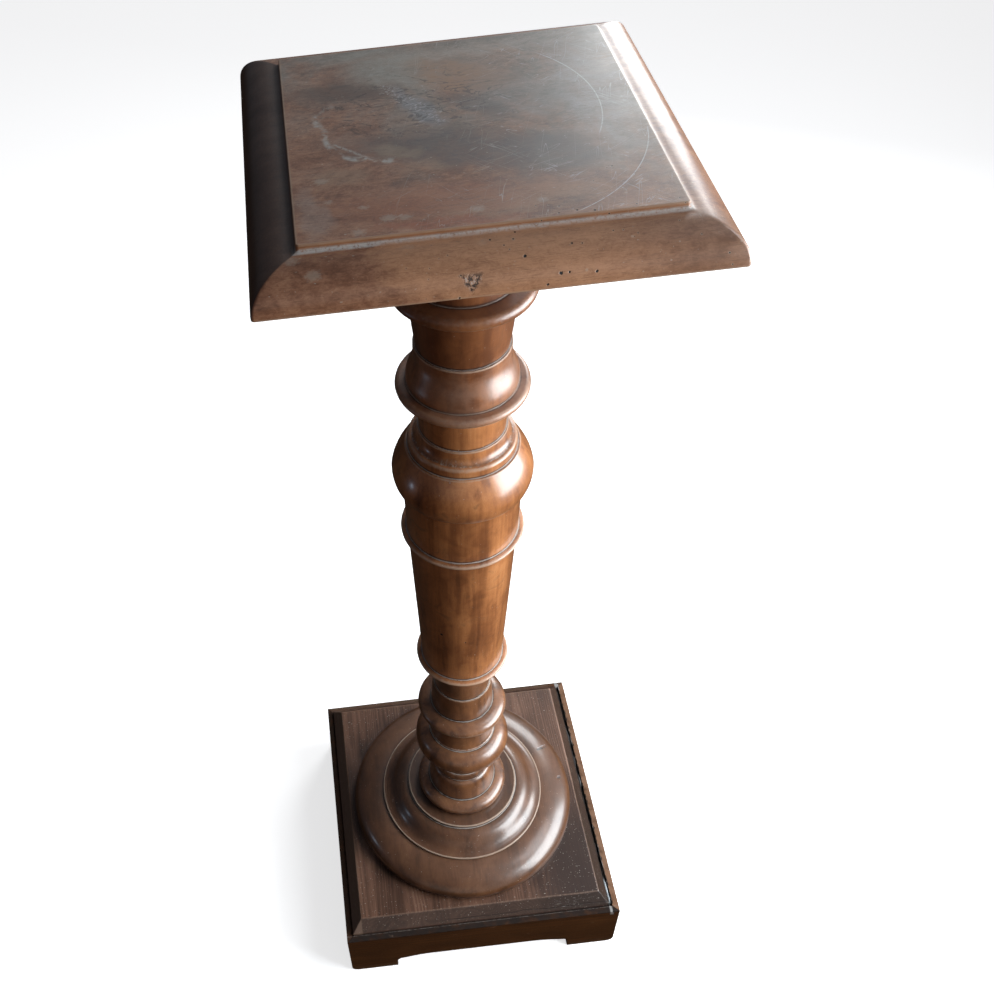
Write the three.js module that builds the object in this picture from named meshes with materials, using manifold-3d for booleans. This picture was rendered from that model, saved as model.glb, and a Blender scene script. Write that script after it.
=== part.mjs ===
// A pedestal column stand: a moulded square top on a turned column, two turned base
// discs and a square plinth. The plinth's board lies loose-edged in a mitred frame of
// four rails, whose lower edges are cut away between bracket feet.
//
// Lengths are in millimetres. X runs from left to right, Y from front to back and Z up.
// The origin lies on the floor under the middle of the plinth frame.

import * as THREE from 'three';
import { mergeVertices } from 'three/addons/utils/BufferGeometryUtils.js';
import Module from 'manifold-3d';

const wasm = await Module();
wasm.setup();

// ---------------------------------------------------------------------------
// Clearances
// ---------------------------------------------------------------------------

const GLUE_LINE = 0.3; // between two pieces that are glued, screwed or stood together
const MORTISE_SPARE = 2; // room left past the end of a tenon
const SHRINKAGE_GAP = 3.4; // opened along the plinth board's right edge as it dried

// ---------------------------------------------------------------------------
// Plinth frame: four rails with bracket feet, mitred at the corners
// ---------------------------------------------------------------------------

const RAIL_HEIGHT = 90;
const RAIL_THICKNESS = 21;
const RAIL_LIP = 7.3; // width of the rail's top edge outside the rebate
const REBATE_DEPTH = 6.3; // how far the plinth board sinks into the frame
const BRACKET_FOOT_WIDTH = 57;
const FOOT_CORNER_RADIUS = 9;
const BRACKET_UPRIGHT = 14; // straight inner end of a foot
const BRACKET_NOSE_RUN = 11; // tight curve above the upright
const BRACKET_NOSE_RISE = 8.5;
const BRACKET_SWEEP_RUN = 32; // long shallow curve that runs out to the straight part
const BRACKET_SWEEP_RISE = 5;

const CORNER_BLOCK_SIDE = 26;
const CORNER_BLOCK_CHAMFER = 9;
const CORNER_BLOCK_HEIGHT = 48;

// ---------------------------------------------------------------------------
// Plinth board, with a bevel on all four edges
// ---------------------------------------------------------------------------

const PLINTH_BOARD_SIDE = 305;
const PLINTH_BOARD_EDGE = 9.5; // upright edge below the bevel
const BEVEL_RUN = 11.7;
const BEVEL_RISE = 15.5;

// ---------------------------------------------------------------------------
// Base discs
// ---------------------------------------------------------------------------

const TORUS_RADIUS = 134;
const TORUS_SOLE_RADIUS = 130.5;
const TORUS_LOWER_RISE = 7.7;
const TORUS_UPPER_RISE = 19.5;
const TORUS_FLAT_RADIUS = 98;

const STEP_RADIUS = 97;
const STEP_ARRIS = 2.7; // upright edge that the cyma starts from
const STEP_CYMA_RISE = 14.3;
const STEP_CYMA_TOP_RADIUS = 67.2;
const STEP_FILLET_RADIUS = 65.2;
const STEP_FILLET_RISE = 3.8;

// ---------------------------------------------------------------------------
// Column foot, from the base discs up to the ring of the shaft
// ---------------------------------------------------------------------------

const SHOE_SOLE_RADIUS = 47;
const SHOE_RADIUS = 52.3;
const SHOE_RISE = 16;
const SHOE_TOP_RADIUS = 40;
const ANKLE_FILLET_RADIUS = 38.7;
const ANKLE_FILLET_RISE = 1.5;
const ANKLE_TOP_RADIUS = 31.5;
const ANKLE_RISE = 31;
const ANKLE_FULLNESS = 2.6;
const ANKLE_GROOVE_RADIUS = 30.6;
const ANKLE_GROOVE_RISE = 2;
const ANKLE_BEAD_RADIUS = 33.8;
const ANKLE_BEAD_RISE = 13;
const BALL_NECK_RADIUS = 31;
const BALL_NECK_RISE = 29;
const BALL_SEAT_RADIUS = 34;
const BALL_RADIUS = 52.6;
const BALL_RISE = 33.5;
const BALL_FILLET_RADIUS = 36.2;
const BALL_FILLET_RISE = 1.5;
const WAIST_RADIUS = 31;
const WAIST_RISE = 47;
const DISC_SOLE_RADIUS = 47;
const DISC_RADIUS = 48.2;
const DISC_RIM_RISE = 3;
const DISC_CROWN_RISE = 8.8;
const DISC_CROWN_RADIUS = 34;
const FLARE_FILLET_RADIUS = 33.6;
const FLARE_FILLET_RISE = 1.5;
const FLARE_TOP_RADIUS = 31;
const FLARE_RISE = 34.5;
const FLARE_FULLNESS = 0.9;
const LOWER_NECK_RADIUS = 29.7;
const LOWER_NECK_RISE = 52.5;
const LOWER_NECK_TOP_RADIUS = 33;

// ---------------------------------------------------------------------------
// Column shaft, from the lower ring up to the collar of the capital
// ---------------------------------------------------------------------------

const RING_SOLE_RADIUS = 43.5;
const RING_RADIUS = 47;
const RING_RISE = 5.3;
const TAPER_FOOT_RADIUS = 41.3;
const TAPER_RISE = 195;
const TAPER_TOP_RADIUS = 49.7;
const BAND_RING_RADIUS = 55.6;
const BAND_RING_SOLE_RADIUS = 52.5;
const BAND_RING_RISE = 5;
const BAND_FOOT_RADIUS = 50.4;
const BAND_TOP_RADIUS = 51.8;
const BAND_RISE = 57.2;
const BULB_SEAT_RADIUS = 53;
const BULB_RADIUS = 60.6;
const BULB_LOWER_RISE = 18.5;
const BULB_UPPER_RISE = 27;
const BULB_TOP_RADIUS = 48.2;
const BULB_SHOULDER_FULLNESS = 3.8;
const SHOULDER_FILLET_RADIUS = 46;
const SHOULDER_FILLET_RISE = 6;
const SHOULDER_ROUND_RADIUS = 43.2;
const SHOULDER_ROUND_RISE = 3.4;
const SHOULDER_COVE_RISE = 9.5;
const NECK_FILLET_RADIUS = 38.1;
const NECK_FILLET_RISE = 3.2;
const NECK_FOOT_RADIUS = 36.2;
const NECK_TOP_RADIUS = 36.8;
const NECK_RISE = 40.1;

// ---------------------------------------------------------------------------
// Column capital, from the collar up to the plate under the top
// ---------------------------------------------------------------------------

const COLLAR_SOLE_RADIUS = 50;
const COLLAR_RADIUS = 53.9;
const COLLAR_RISE = 8;
const BELL_FOOT_RADIUS = 44.4;
const BELL_TOP_RADIUS = 38.6;
const BELL_RISE = 31.5;
const BELL_FOOT_FULLNESS = 3.4; // outward swing of the bell near its foot
const BELL_HOLLOW = 1.6; // inward swing of the bell near its top
const BELL_FILLET_RISE = 6;
const THROAT_FOOT_RADIUS = 36.6;
const THROAT_TOP_RADIUS = 41.4;
const THROAT_RISE = 49.5;
const THROAT_FULLNESS = 0.9;
const FLANGE_SOLE_RADIUS = 51;
const FLANGE_RADIUS = 56;
const FLANGE_RISE = 11.2;
const FLANGE_SHELF_RADIUS = 46;
const UPPER_NECK_RADIUS = 40;
const UPPER_NECK_RISE = 68.2;

const PLATE_RADIUS = 78;
const PLATE_THICKNESS = 21.5;
const PLATE_COVE_RUN = 8;
const PLATE_COVE_RISE = 9;

// ---------------------------------------------------------------------------
// Top board, with a raised field and an ovolo worked on all four edges
// ---------------------------------------------------------------------------

const TOP_SIDE = 290.4;
const TOP_EDGE = 2; // upright edge below the ovolo
const TOP_OVOLO_RUN = 25;
const TOP_OVOLO_RISE = 21;
const TOP_COVE_RUN = 5.3;
const TOP_COVE_RISE = 2.5;
const TOP_FIELD_RISE = 2.5; // upright edge of the raised field

// ---------------------------------------------------------------------------
// Tenons, wedge and screws
// ---------------------------------------------------------------------------

const FOOT_TENON_RADIUS = 16;
const SHAFT_TENON_RADIUS = 15;
const SHAFT_TENON_LENGTH = 40;
const PLATE_TENON_RADIUS = 18;
const PLATE_TENON_SHORTFALL = 1.5; // the tenon stops this far below the plate's face

const WEDGE_LENGTH = 27;
const WEDGE_WIDTH = 25;
const WEDGE_HEAD = 5;
const WEDGE_TIP = 1.6;

const SCREW_SHANK_RADIUS = 2.5;
const SCREW_HEAD_RADIUS = 4.8;
const SCREW_HEAD_HEIGHT = 3.2;
const SCREW_POINT_LENGTH = 5;
const SCREW_SLOT_WIDTH = 1.2;
const SCREW_SLOT_DEPTH = 1.4;
const SCREW_BITE = 14; // length in the far piece
const SCREWS_PER_JOINT = 4;
const PLATE_SCREW_CIRCLE = 58; // radius that the screws lie on
const BASE_SCREW_CIRCLE = 62;

// ---------------------------------------------------------------------------
// Fineness of the curved faces
// ---------------------------------------------------------------------------

const COLUMN_SIDES = 36;
const DISC_SIDES = 52;
const SCREW_SIDES = 12;
const ARC_STEP = 4.2; // aimed length of one step along a moulding
const ARC_STEPS_MAX = 6;
const BRACKET_STEPS = 4;
const CUT_OVERRUN = 4; // how far a cutter reaches past what it cuts

// ---------------------------------------------------------------------------
// Sizes that follow from those above
// ---------------------------------------------------------------------------

const frameDepth = PLINTH_BOARD_SIDE + 2 * (RAIL_LIP + GLUE_LINE);
const frameWidth = frameDepth + SHRINKAGE_GAP;
const axisX = -SHRINKAGE_GAP / 2; // the board lies tight against the left rail
const plinthBoardZ = RAIL_HEIGHT - REBATE_DEPTH + GLUE_LINE;
const plinthBoardThickness = PLINTH_BOARD_EDGE + BEVEL_RISE;
const torusThickness = TORUS_LOWER_RISE + TORUS_UPPER_RISE;
const torusZ = plinthBoardZ + plinthBoardThickness + GLUE_LINE;
const stepThickness = STEP_ARRIS + STEP_CYMA_RISE + STEP_FILLET_RISE;
const stepZ = torusZ + torusThickness + GLUE_LINE;
const footZ = stepZ + stepThickness + GLUE_LINE;
const footTenonLength = footZ - plinthBoardZ;
const topThickness = TOP_EDGE + TOP_OVOLO_RISE + TOP_COVE_RISE + TOP_FIELD_RISE;
const shaftMortiseDepth = SHAFT_TENON_LENGTH + MORTISE_SPARE;
const shaftMortiseRadius = SHAFT_TENON_RADIUS + GLUE_LINE;

// ---------------------------------------------------------------------------
// Turned outlines
// ---------------------------------------------------------------------------

// An outline is drawn upwards, with x as the radius and y as the height above the
// shoulder that the piece stands on. Each member starts where the last one ended.
class Turning {
  constructor() {
    this.path = new THREE.Path();
  }

  get radius() {
    return this.path.currentPoint.x;
  }

  get height() {
    return this.path.currentPoint.y;
  }

  standOnTenon(tenonRadius, length) {
    this.path.moveTo(0, -length);
    this.path.lineTo(tenonRadius, -length);
    this.path.lineTo(tenonRadius, 0);
    return this;
  }

  standOnMortise(mortiseRadius, depth) {
    this.path.moveTo(0, depth);
    this.path.lineTo(mortiseRadius, depth);
    this.path.lineTo(mortiseRadius, 0);
    return this;
  }

  standOnBore(boreRadius) {
    this.path.moveTo(boreRadius, 0);
    return this;
  }

  // A flat step in or out.
  shelf(radius) {
    this.path.lineTo(radius, this.height);
    return this;
  }

  // An upright or sloping straight face.
  straight(radius, rise) {
    this.path.lineTo(radius, this.height + rise);
    return this;
  }

  // A convex quarter that widens as it rises.
  roundOut(radius, rise) {
    const middle = new THREE.Vector2(this.radius, this.height + rise);
    this.path.absellipse(middle.x, middle.y, radius - this.radius, rise, -Math.PI / 2, 0, false, 0);
    return this;
  }

  // A convex quarter that narrows as it rises.
  roundIn(radius, rise) {
    const middle = new THREE.Vector2(radius, this.height);
    this.path.absellipse(middle.x, middle.y, this.radius - radius, rise, 0, Math.PI / 2, false, 0);
    return this;
  }

  // A hollow quarter that narrows as it rises.
  hollowIn(radius, rise) {
    const middle = new THREE.Vector2(this.radius, this.height + rise);
    this.path.absellipse(middle.x, middle.y, this.radius - radius, rise, -Math.PI / 2, -Math.PI, true, 0);
    return this;
  }

  // A roll: out to the given radius at half its height and back in to topRadius.
  roll(radius, rise, topRadius) {
    return this.roundOut(radius, rise / 2).roundIn(topRadius, rise / 2);
  }

  // A gentle curve that stands out from the straight line by about half of fullness.
  swell(radius, rise, fullness) {
    const controlRadius = (this.radius + radius) / 2 + fullness;
    this.path.quadraticCurveTo(controlRadius, this.height + rise / 2, radius, this.height + rise);
    return this;
  }

  // A double curve that leaves and arrives level.
  cyma(radius, rise) {
    const foot = this.height;
    const middle = (this.radius + radius) / 2;
    this.path.bezierCurveTo(middle, foot, middle, foot + rise, radius, foot + rise);
    return this;
  }

  // A double curve that is full near its foot and hollow near its top.
  bell(radius, rise, fullness, hollow) {
    const foot = this.height;
    const third = rise / 3;
    this.path.bezierCurveTo(
      this.radius + fullness, foot + third,
      radius - hollow, foot + 2 * third,
      radius, foot + rise,
    );
    return this;
  }

  endInTenon(tenonRadius, length) {
    const shoulder = this.height;
    this.path.lineTo(tenonRadius, shoulder);
    this.path.lineTo(tenonRadius, shoulder + length);
    this.path.lineTo(0, shoulder + length);
    return this;
  }

  endInMortise(mortiseRadius, depth) {
    const shoulder = this.height;
    this.path.lineTo(mortiseRadius, shoulder);
    this.path.lineTo(mortiseRadius, shoulder - depth);
    this.path.lineTo(0, shoulder - depth);
    return this;
  }

  endInBore(boreRadius) {
    this.path.lineTo(boreRadius, this.height);
    this.path.lineTo(boreRadius, 0);
    return this;
  }

  // The outline's points, with more of them on longer curves.
  points() {
    const points = [this.path.curves[0].getPoint(0)];
    for (const curve of this.path.curves) {
      const steps = curve.isLineCurve ? 1 : curveSteps(curve.getLength());
      points.push(...curve.getPoints(steps).slice(1));
    }
    return points;
  }

  geometry(sides) {
    const turned = new THREE.LatheGeometry(this.points(), sides);
    turned.rotateX(Math.PI / 2);
    return turned;
  }
}

function curveSteps(length) {
  return THREE.MathUtils.clamp(Math.round(length / ARC_STEP), 2, ARC_STEPS_MAX);
}

// ---------------------------------------------------------------------------
// Closed bodies, cuts and joins
// ---------------------------------------------------------------------------

// A closed body from a geometry, with shared corners merged and collapsed faces dropped.
function toBody(geometry) {
  const bare = geometry.clone();
  bare.deleteAttribute('normal');
  bare.deleteAttribute('uv');
  const merged = mergeVertices(bare);
  const index = merged.index.array;
  const triangles = [];
  for (let i = 0; i < index.length; i += 3) {
    const [a, b, c] = index.slice(i, i + 3);
    if (a !== b && b !== c && c !== a) {
      triangles.push(a, b, c);
    }
  }
  return new wasm.Manifold(new wasm.Mesh({
    numProp: 3,
    vertProperties: new Float32Array(merged.attributes.position.array),
    triVerts: new Uint32Array(triangles),
  }));
}

function toGeometry(body) {
  const mesh = body.getMesh();
  const geometry = new THREE.BufferGeometry();
  geometry.setAttribute('position', new THREE.BufferAttribute(mesh.vertProperties, 3));
  geometry.setIndex(new THREE.BufferAttribute(mesh.triVerts, 1));
  geometry.computeVertexNormals();
  return geometry;
}

// A block with its lower corner at the given place.
function block(corner, size) {
  const box = new THREE.BoxGeometry(size.x, size.y, size.z);
  box.translate(corner.x + size.x / 2, corner.y + size.y / 2, corner.z + size.z / 2);
  return toBody(box);
}

// A plan outline raised into a prism from the height z.
function prism(shape, height, z = 0) {
  const raised = new THREE.ExtrudeGeometry(shape, { depth: height, bevelEnabled: false });
  raised.translate(0, 0, z);
  return toBody(raised);
}

// An elevation outline, x across and y up, carried back along +Y from y = 0.
function elevation(shape, depth, curveSegments) {
  const drawn = new THREE.ExtrudeGeometry(shape, { depth, bevelEnabled: false, curveSegments });
  drawn.rotateX(Math.PI / 2);
  drawn.translate(0, depth, 0);
  return toBody(drawn);
}

// ---------------------------------------------------------------------------
// Wood screws
// ---------------------------------------------------------------------------

// The outline of a countersunk screw that points up and has the face of its head at
// height 0. A positive ease makes the hole for it, open below the head.
function screwBody(length, ease) {
  const outline = [
    new THREE.Vector2(0, ease > 0 ? -CUT_OVERRUN : 0),
    new THREE.Vector2(SCREW_HEAD_RADIUS + ease, ease > 0 ? -CUT_OVERRUN : 0),
    new THREE.Vector2(SCREW_HEAD_RADIUS + ease, 0),
    new THREE.Vector2(SCREW_SHANK_RADIUS + ease, SCREW_HEAD_HEIGHT),
    new THREE.Vector2(SCREW_SHANK_RADIUS + ease, length - SCREW_POINT_LENGTH),
    new THREE.Vector2(ease, length + ease),
    new THREE.Vector2(0, length + ease),
  ];
  const turned = new THREE.LatheGeometry(outline, SCREW_SIDES);
  turned.rotateX(Math.PI / 2);
  return toBody(turned);
}

function slottedScrew(length) {
  const slot = block(
    new THREE.Vector3(-SCREW_HEAD_RADIUS - CUT_OVERRUN, -SCREW_SLOT_WIDTH / 2, -CUT_OVERRUN),
    new THREE.Vector3(2 * (SCREW_HEAD_RADIUS + CUT_OVERRUN), SCREW_SLOT_WIDTH, CUT_OVERRUN + SCREW_SLOT_DEPTH),
  );
  return screwBody(length, 0).subtract(slot);
}

// Places on a circle about the axis, the first of them on a diagonal.
function screwPlaces(radius, z) {
  const places = [];
  for (let i = 0; i < SCREWS_PER_JOINT; i += 1) {
    const angle = (2 * Math.PI * (i + 0.5)) / SCREWS_PER_JOINT;
    places.push(new THREE.Vector3(radius * Math.cos(angle), radius * Math.sin(angle), z));
  }
  return places;
}

// The body with a hole for each screw of the given length on the circle.
function drilled(body, length, radius, z) {
  let rest = body;
  for (const { x, y } of screwPlaces(radius, z)) {
    rest = rest.subtract(screwBody(length, GLUE_LINE).translate([x, y, z]));
  }
  return rest;
}

const plateScrewLength = PLATE_THICKNESS + GLUE_LINE + SCREW_BITE;
const baseScrewLength = plinthBoardThickness + GLUE_LINE + SCREW_BITE;

// ---------------------------------------------------------------------------
// Plinth frame
// ---------------------------------------------------------------------------

// A rail seen from outside: bracket feet at both ends and a long cut between them.
function railOutline(length) {
  const end = length / 2;
  const footEnd = end - BRACKET_FOOT_WIDTH;
  const noseX = footEnd - BRACKET_NOSE_RUN;
  const noseZ = BRACKET_UPRIGHT + BRACKET_NOSE_RISE;
  const sweepX = noseX - BRACKET_SWEEP_RUN;
  const ceilingZ = noseZ + BRACKET_SWEEP_RISE;
  const corner = FOOT_CORNER_RADIUS;
  const shape = new THREE.Shape();
  shape.moveTo(-end, RAIL_HEIGHT);
  shape.lineTo(-end, corner);
  shape.absarc(-end + corner, corner, corner, Math.PI, 1.5 * Math.PI, false);
  shape.lineTo(-footEnd, 0);
  shape.lineTo(-footEnd, BRACKET_UPRIGHT);
  shape.quadraticCurveTo(-footEnd, noseZ, -noseX, noseZ);
  shape.quadraticCurveTo(-(noseX + sweepX) / 2, ceilingZ, -sweepX, ceilingZ);
  shape.lineTo(sweepX, ceilingZ);
  shape.quadraticCurveTo((noseX + sweepX) / 2, ceilingZ, noseX, noseZ);
  shape.quadraticCurveTo(footEnd, noseZ, footEnd, BRACKET_UPRIGHT);
  shape.lineTo(footEnd, 0);
  shape.lineTo(end - corner, 0);
  shape.absarc(end - corner, corner, corner, 1.5 * Math.PI, 2 * Math.PI, false);
  shape.lineTo(end, RAIL_HEIGHT);
  return shape;
}

// A rail's plan: a long trapezium with a mitre at each end.
function mitrePlan(length) {
  const ease = GLUE_LINE / Math.SQRT2;
  const outer = length / 2 - ease;
  const inner = outer - RAIL_THICKNESS;
  const plan = new THREE.Shape();
  plan.moveTo(-outer, 0);
  plan.lineTo(outer, 0);
  plan.lineTo(inner, RAIL_THICKNESS);
  plan.lineTo(-inner, RAIL_THICKNESS);
  return plan;
}

// A rail along X with its outer face at y = 0 and its inside towards +Y.
function rail(length) {
  const rebateZ = RAIL_HEIGHT - REBATE_DEPTH;
  const rebate = block(
    new THREE.Vector3(-length / 2, RAIL_LIP, rebateZ),
    new THREE.Vector3(length, RAIL_THICKNESS, REBATE_DEPTH + CUT_OVERRUN),
  );
  const mitred = prism(mitrePlan(length), RAIL_HEIGHT + 2 * CUT_OVERRUN, -CUT_OVERRUN);
  return elevation(railOutline(length), RAIL_THICKNESS, BRACKET_STEPS).intersect(mitred).subtract(rebate);
}

// A glue block for an inside corner at the origin, with arms along +X and +Y.
function cornerBlock() {
  const side = CORNER_BLOCK_SIDE;
  const plan = new THREE.Shape();
  plan.moveTo(0, 0);
  plan.lineTo(side, 0);
  plan.lineTo(side, side - CORNER_BLOCK_CHAMFER);
  plan.lineTo(side - CORNER_BLOCK_CHAMFER, side);
  plan.lineTo(0, side);
  return prism(plan, CORNER_BLOCK_HEIGHT);
}

// ---------------------------------------------------------------------------
// Boards with a moulding worked round all four edges
// ---------------------------------------------------------------------------

// The two long mouldings carry the section along X, the two short ones carry it along Y,
// and what lies inside both is a board whose mouldings meet in mitres at the corners.
function mouldedBoard(section, side) {
  const acrossY = elevation(section, side, ARC_STEPS_MAX).translate([0, -side / 2, 0]);
  const acrossX = acrossY.rotate([0, 0, 90]);
  return acrossY.intersect(acrossX);
}

function plinthBoardSection() {
  const half = PLINTH_BOARD_SIDE / 2;
  const section = new THREE.Shape();
  section.moveTo(-half, 0);
  section.lineTo(half, 0);
  section.lineTo(half, PLINTH_BOARD_EDGE);
  section.lineTo(half - BEVEL_RUN, plinthBoardThickness);
  section.lineTo(-half + BEVEL_RUN, plinthBoardThickness);
  section.lineTo(-half, PLINTH_BOARD_EDGE);
  return section;
}

// The top's section: upright edge, ovolo, small cove and the upright edge of the field.
function topSection() {
  const half = TOP_SIDE / 2;
  const quirk = half - TOP_OVOLO_RUN;
  const quirkZ = TOP_EDGE + TOP_OVOLO_RISE;
  const field = quirk - TOP_COVE_RUN;
  const coveZ = quirkZ + TOP_COVE_RISE;
  const section = new THREE.Shape();
  section.moveTo(-half, 0);
  section.lineTo(half, 0);
  section.lineTo(half, TOP_EDGE);
  section.absellipse(quirk, TOP_EDGE, TOP_OVOLO_RUN, TOP_OVOLO_RISE, 0, Math.PI / 2, false, 0);
  section.quadraticCurveTo(field, quirkZ, field, coveZ);
  section.lineTo(field, topThickness);
  section.lineTo(-field, topThickness);
  section.lineTo(-field, coveZ);
  section.quadraticCurveTo(-field, quirkZ, -quirk, quirkZ);
  section.absellipse(-quirk, TOP_EDGE, TOP_OVOLO_RUN, TOP_OVOLO_RISE, Math.PI / 2, Math.PI, false, 0);
  return section;
}

function plinthBoard() {
  const bore = new THREE.CylinderGeometry(
    FOOT_TENON_RADIUS + GLUE_LINE,
    FOOT_TENON_RADIUS + GLUE_LINE,
    plinthBoardThickness + 2 * CUT_OVERRUN,
    COLUMN_SIDES,
  );
  bore.rotateX(Math.PI / 2);
  bore.translate(0, 0, plinthBoardThickness / 2);
  const board = mouldedBoard(plinthBoardSection(), PLINTH_BOARD_SIDE).subtract(toBody(bore));
  return drilled(board, baseScrewLength, BASE_SCREW_CIRCLE, 0);
}

function topBoard() {
  const plateDrop = -PLATE_THICKNESS - GLUE_LINE;
  return drilled(mouldedBoard(topSection(), TOP_SIDE), plateScrewLength, PLATE_SCREW_CIRCLE, plateDrop);
}

// ---------------------------------------------------------------------------
// Base discs
// ---------------------------------------------------------------------------

function torusDisc() {
  const outline = new Turning()
    .standOnBore(FOOT_TENON_RADIUS + GLUE_LINE)
    .shelf(TORUS_SOLE_RADIUS)
    .roundOut(TORUS_RADIUS, TORUS_LOWER_RISE)
    .roundIn(TORUS_FLAT_RADIUS, TORUS_UPPER_RISE)
    .endInBore(FOOT_TENON_RADIUS + GLUE_LINE);
  const disc = toBody(outline.geometry(DISC_SIDES));
  return drilled(disc, baseScrewLength, BASE_SCREW_CIRCLE, plinthBoardZ - torusZ);
}

function stepDisc() {
  const outline = new Turning()
    .standOnBore(FOOT_TENON_RADIUS + GLUE_LINE)
    .shelf(STEP_RADIUS)
    .straight(STEP_RADIUS, STEP_ARRIS)
    .cyma(STEP_CYMA_TOP_RADIUS, STEP_CYMA_RISE)
    .shelf(STEP_FILLET_RADIUS)
    .straight(STEP_FILLET_RADIUS, STEP_FILLET_RISE)
    .endInBore(FOOT_TENON_RADIUS + GLUE_LINE);
  return toBody(outline.geometry(DISC_SIDES));
}

// ---------------------------------------------------------------------------
// Column
// ---------------------------------------------------------------------------

function footTurning() {
  return new Turning()
    .standOnTenon(FOOT_TENON_RADIUS, footTenonLength)
    .shelf(SHOE_SOLE_RADIUS)
    .roll(SHOE_RADIUS, SHOE_RISE, SHOE_TOP_RADIUS)
    .shelf(ANKLE_FILLET_RADIUS)
    .straight(ANKLE_FILLET_RADIUS, ANKLE_FILLET_RISE)
    .swell(ANKLE_TOP_RADIUS, ANKLE_RISE, ANKLE_FULLNESS)
    .shelf(ANKLE_GROOVE_RADIUS)
    .straight(ANKLE_GROOVE_RADIUS, ANKLE_GROOVE_RISE)
    .roll(ANKLE_BEAD_RADIUS, ANKLE_BEAD_RISE, BALL_NECK_RADIUS)
    .straight(BALL_NECK_RADIUS, BALL_NECK_RISE)
    .shelf(BALL_SEAT_RADIUS)
    .roll(BALL_RADIUS, BALL_RISE, BALL_FILLET_RADIUS)
    .straight(BALL_FILLET_RADIUS, BALL_FILLET_RISE)
    .hollowIn(WAIST_RADIUS, WAIST_RISE)
    .shelf(DISC_SOLE_RADIUS)
    .straight(DISC_RADIUS, DISC_RIM_RISE)
    .roundIn(DISC_CROWN_RADIUS, DISC_CROWN_RISE)
    .shelf(FLARE_FILLET_RADIUS)
    .straight(FLARE_FILLET_RADIUS, FLARE_FILLET_RISE)
    .swell(FLARE_TOP_RADIUS, FLARE_RISE, FLARE_FULLNESS)
    .shelf(LOWER_NECK_RADIUS)
    .swell(LOWER_NECK_TOP_RADIUS, LOWER_NECK_RISE, -FLARE_FULLNESS);
}

// The wedge seen along Y: blunt below, thin above.
function wedgeOutline(ease, drop) {
  const shape = new THREE.Shape();
  shape.moveTo(-WEDGE_HEAD / 2 - ease, -drop);
  shape.lineTo(WEDGE_HEAD / 2 + ease, -drop);
  shape.lineTo(WEDGE_HEAD / 2 + ease, 0);
  shape.lineTo(WEDGE_TIP / 2 + ease, WEDGE_LENGTH + ease);
  shape.lineTo(-WEDGE_TIP / 2 - ease, WEDGE_LENGTH + ease);
  shape.lineTo(-WEDGE_HEAD / 2 - ease, 0);
  return shape;
}

function columnFoot(turning) {
  const tenoned = turning.endInTenon(SHAFT_TENON_RADIUS, SHAFT_TENON_LENGTH);
  const slotLength = 2 * (FOOT_TENON_RADIUS + CUT_OVERRUN);
  const slot = elevation(wedgeOutline(GLUE_LINE, CUT_OVERRUN), slotLength, 1)
    .translate([0, -slotLength / 2, -footTenonLength]);
  return toBody(tenoned.geometry(COLUMN_SIDES)).subtract(slot);
}

function tenonWedge() {
  return elevation(wedgeOutline(0, 0), WEDGE_WIDTH, 1).translate([0, -WEDGE_WIDTH / 2, 0]);
}

function shaftTurning() {
  return new Turning()
    .standOnMortise(shaftMortiseRadius, shaftMortiseDepth)
    .shelf(RING_SOLE_RADIUS)
    .roll(RING_RADIUS, RING_RISE, TAPER_FOOT_RADIUS)
    .straight(TAPER_TOP_RADIUS, TAPER_RISE)
    .shelf(BAND_RING_SOLE_RADIUS)
    .roll(BAND_RING_RADIUS, BAND_RING_RISE, BAND_FOOT_RADIUS)
    .straight(BAND_TOP_RADIUS, BAND_RISE)
    .shelf(BULB_SEAT_RADIUS)
    .roundOut(BULB_RADIUS, BULB_LOWER_RISE)
    .swell(BULB_TOP_RADIUS, BULB_UPPER_RISE, BULB_SHOULDER_FULLNESS)
    .shelf(SHOULDER_FILLET_RADIUS)
    .straight(SHOULDER_FILLET_RADIUS, SHOULDER_FILLET_RISE)
    .roundIn(SHOULDER_ROUND_RADIUS, SHOULDER_ROUND_RISE)
    .hollowIn(NECK_FILLET_RADIUS, SHOULDER_COVE_RISE)
    .straight(NECK_FILLET_RADIUS, NECK_FILLET_RISE)
    .shelf(NECK_FOOT_RADIUS)
    .straight(NECK_TOP_RADIUS, NECK_RISE);
}

function columnShaft(turning) {
  return toBody(turning.endInMortise(shaftMortiseRadius, shaftMortiseDepth).geometry(COLUMN_SIDES));
}

function capitalTurning() {
  return new Turning()
    .standOnTenon(SHAFT_TENON_RADIUS, SHAFT_TENON_LENGTH)
    .shelf(COLLAR_SOLE_RADIUS)
    .roll(COLLAR_RADIUS, COLLAR_RISE, COLLAR_SOLE_RADIUS)
    .shelf(BELL_FOOT_RADIUS)
    .bell(BELL_TOP_RADIUS, BELL_RISE, BELL_FOOT_FULLNESS, BELL_HOLLOW)
    .straight(BELL_TOP_RADIUS, BELL_FILLET_RISE)
    .shelf(THROAT_FOOT_RADIUS)
    .swell(THROAT_TOP_RADIUS, THROAT_RISE, THROAT_FULLNESS)
    .shelf(FLANGE_SOLE_RADIUS)
    .roll(FLANGE_RADIUS, FLANGE_RISE, FLANGE_SOLE_RADIUS)
    .shelf(FLANGE_SHELF_RADIUS)
    .shelf(UPPER_NECK_RADIUS)
    .straight(UPPER_NECK_RADIUS, UPPER_NECK_RISE);
}

function columnCapital(turning) {
  const tenonLength = PLATE_THICKNESS - PLATE_TENON_SHORTFALL;
  return toBody(turning.endInTenon(PLATE_TENON_RADIUS, tenonLength).geometry(COLUMN_SIDES));
}

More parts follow.
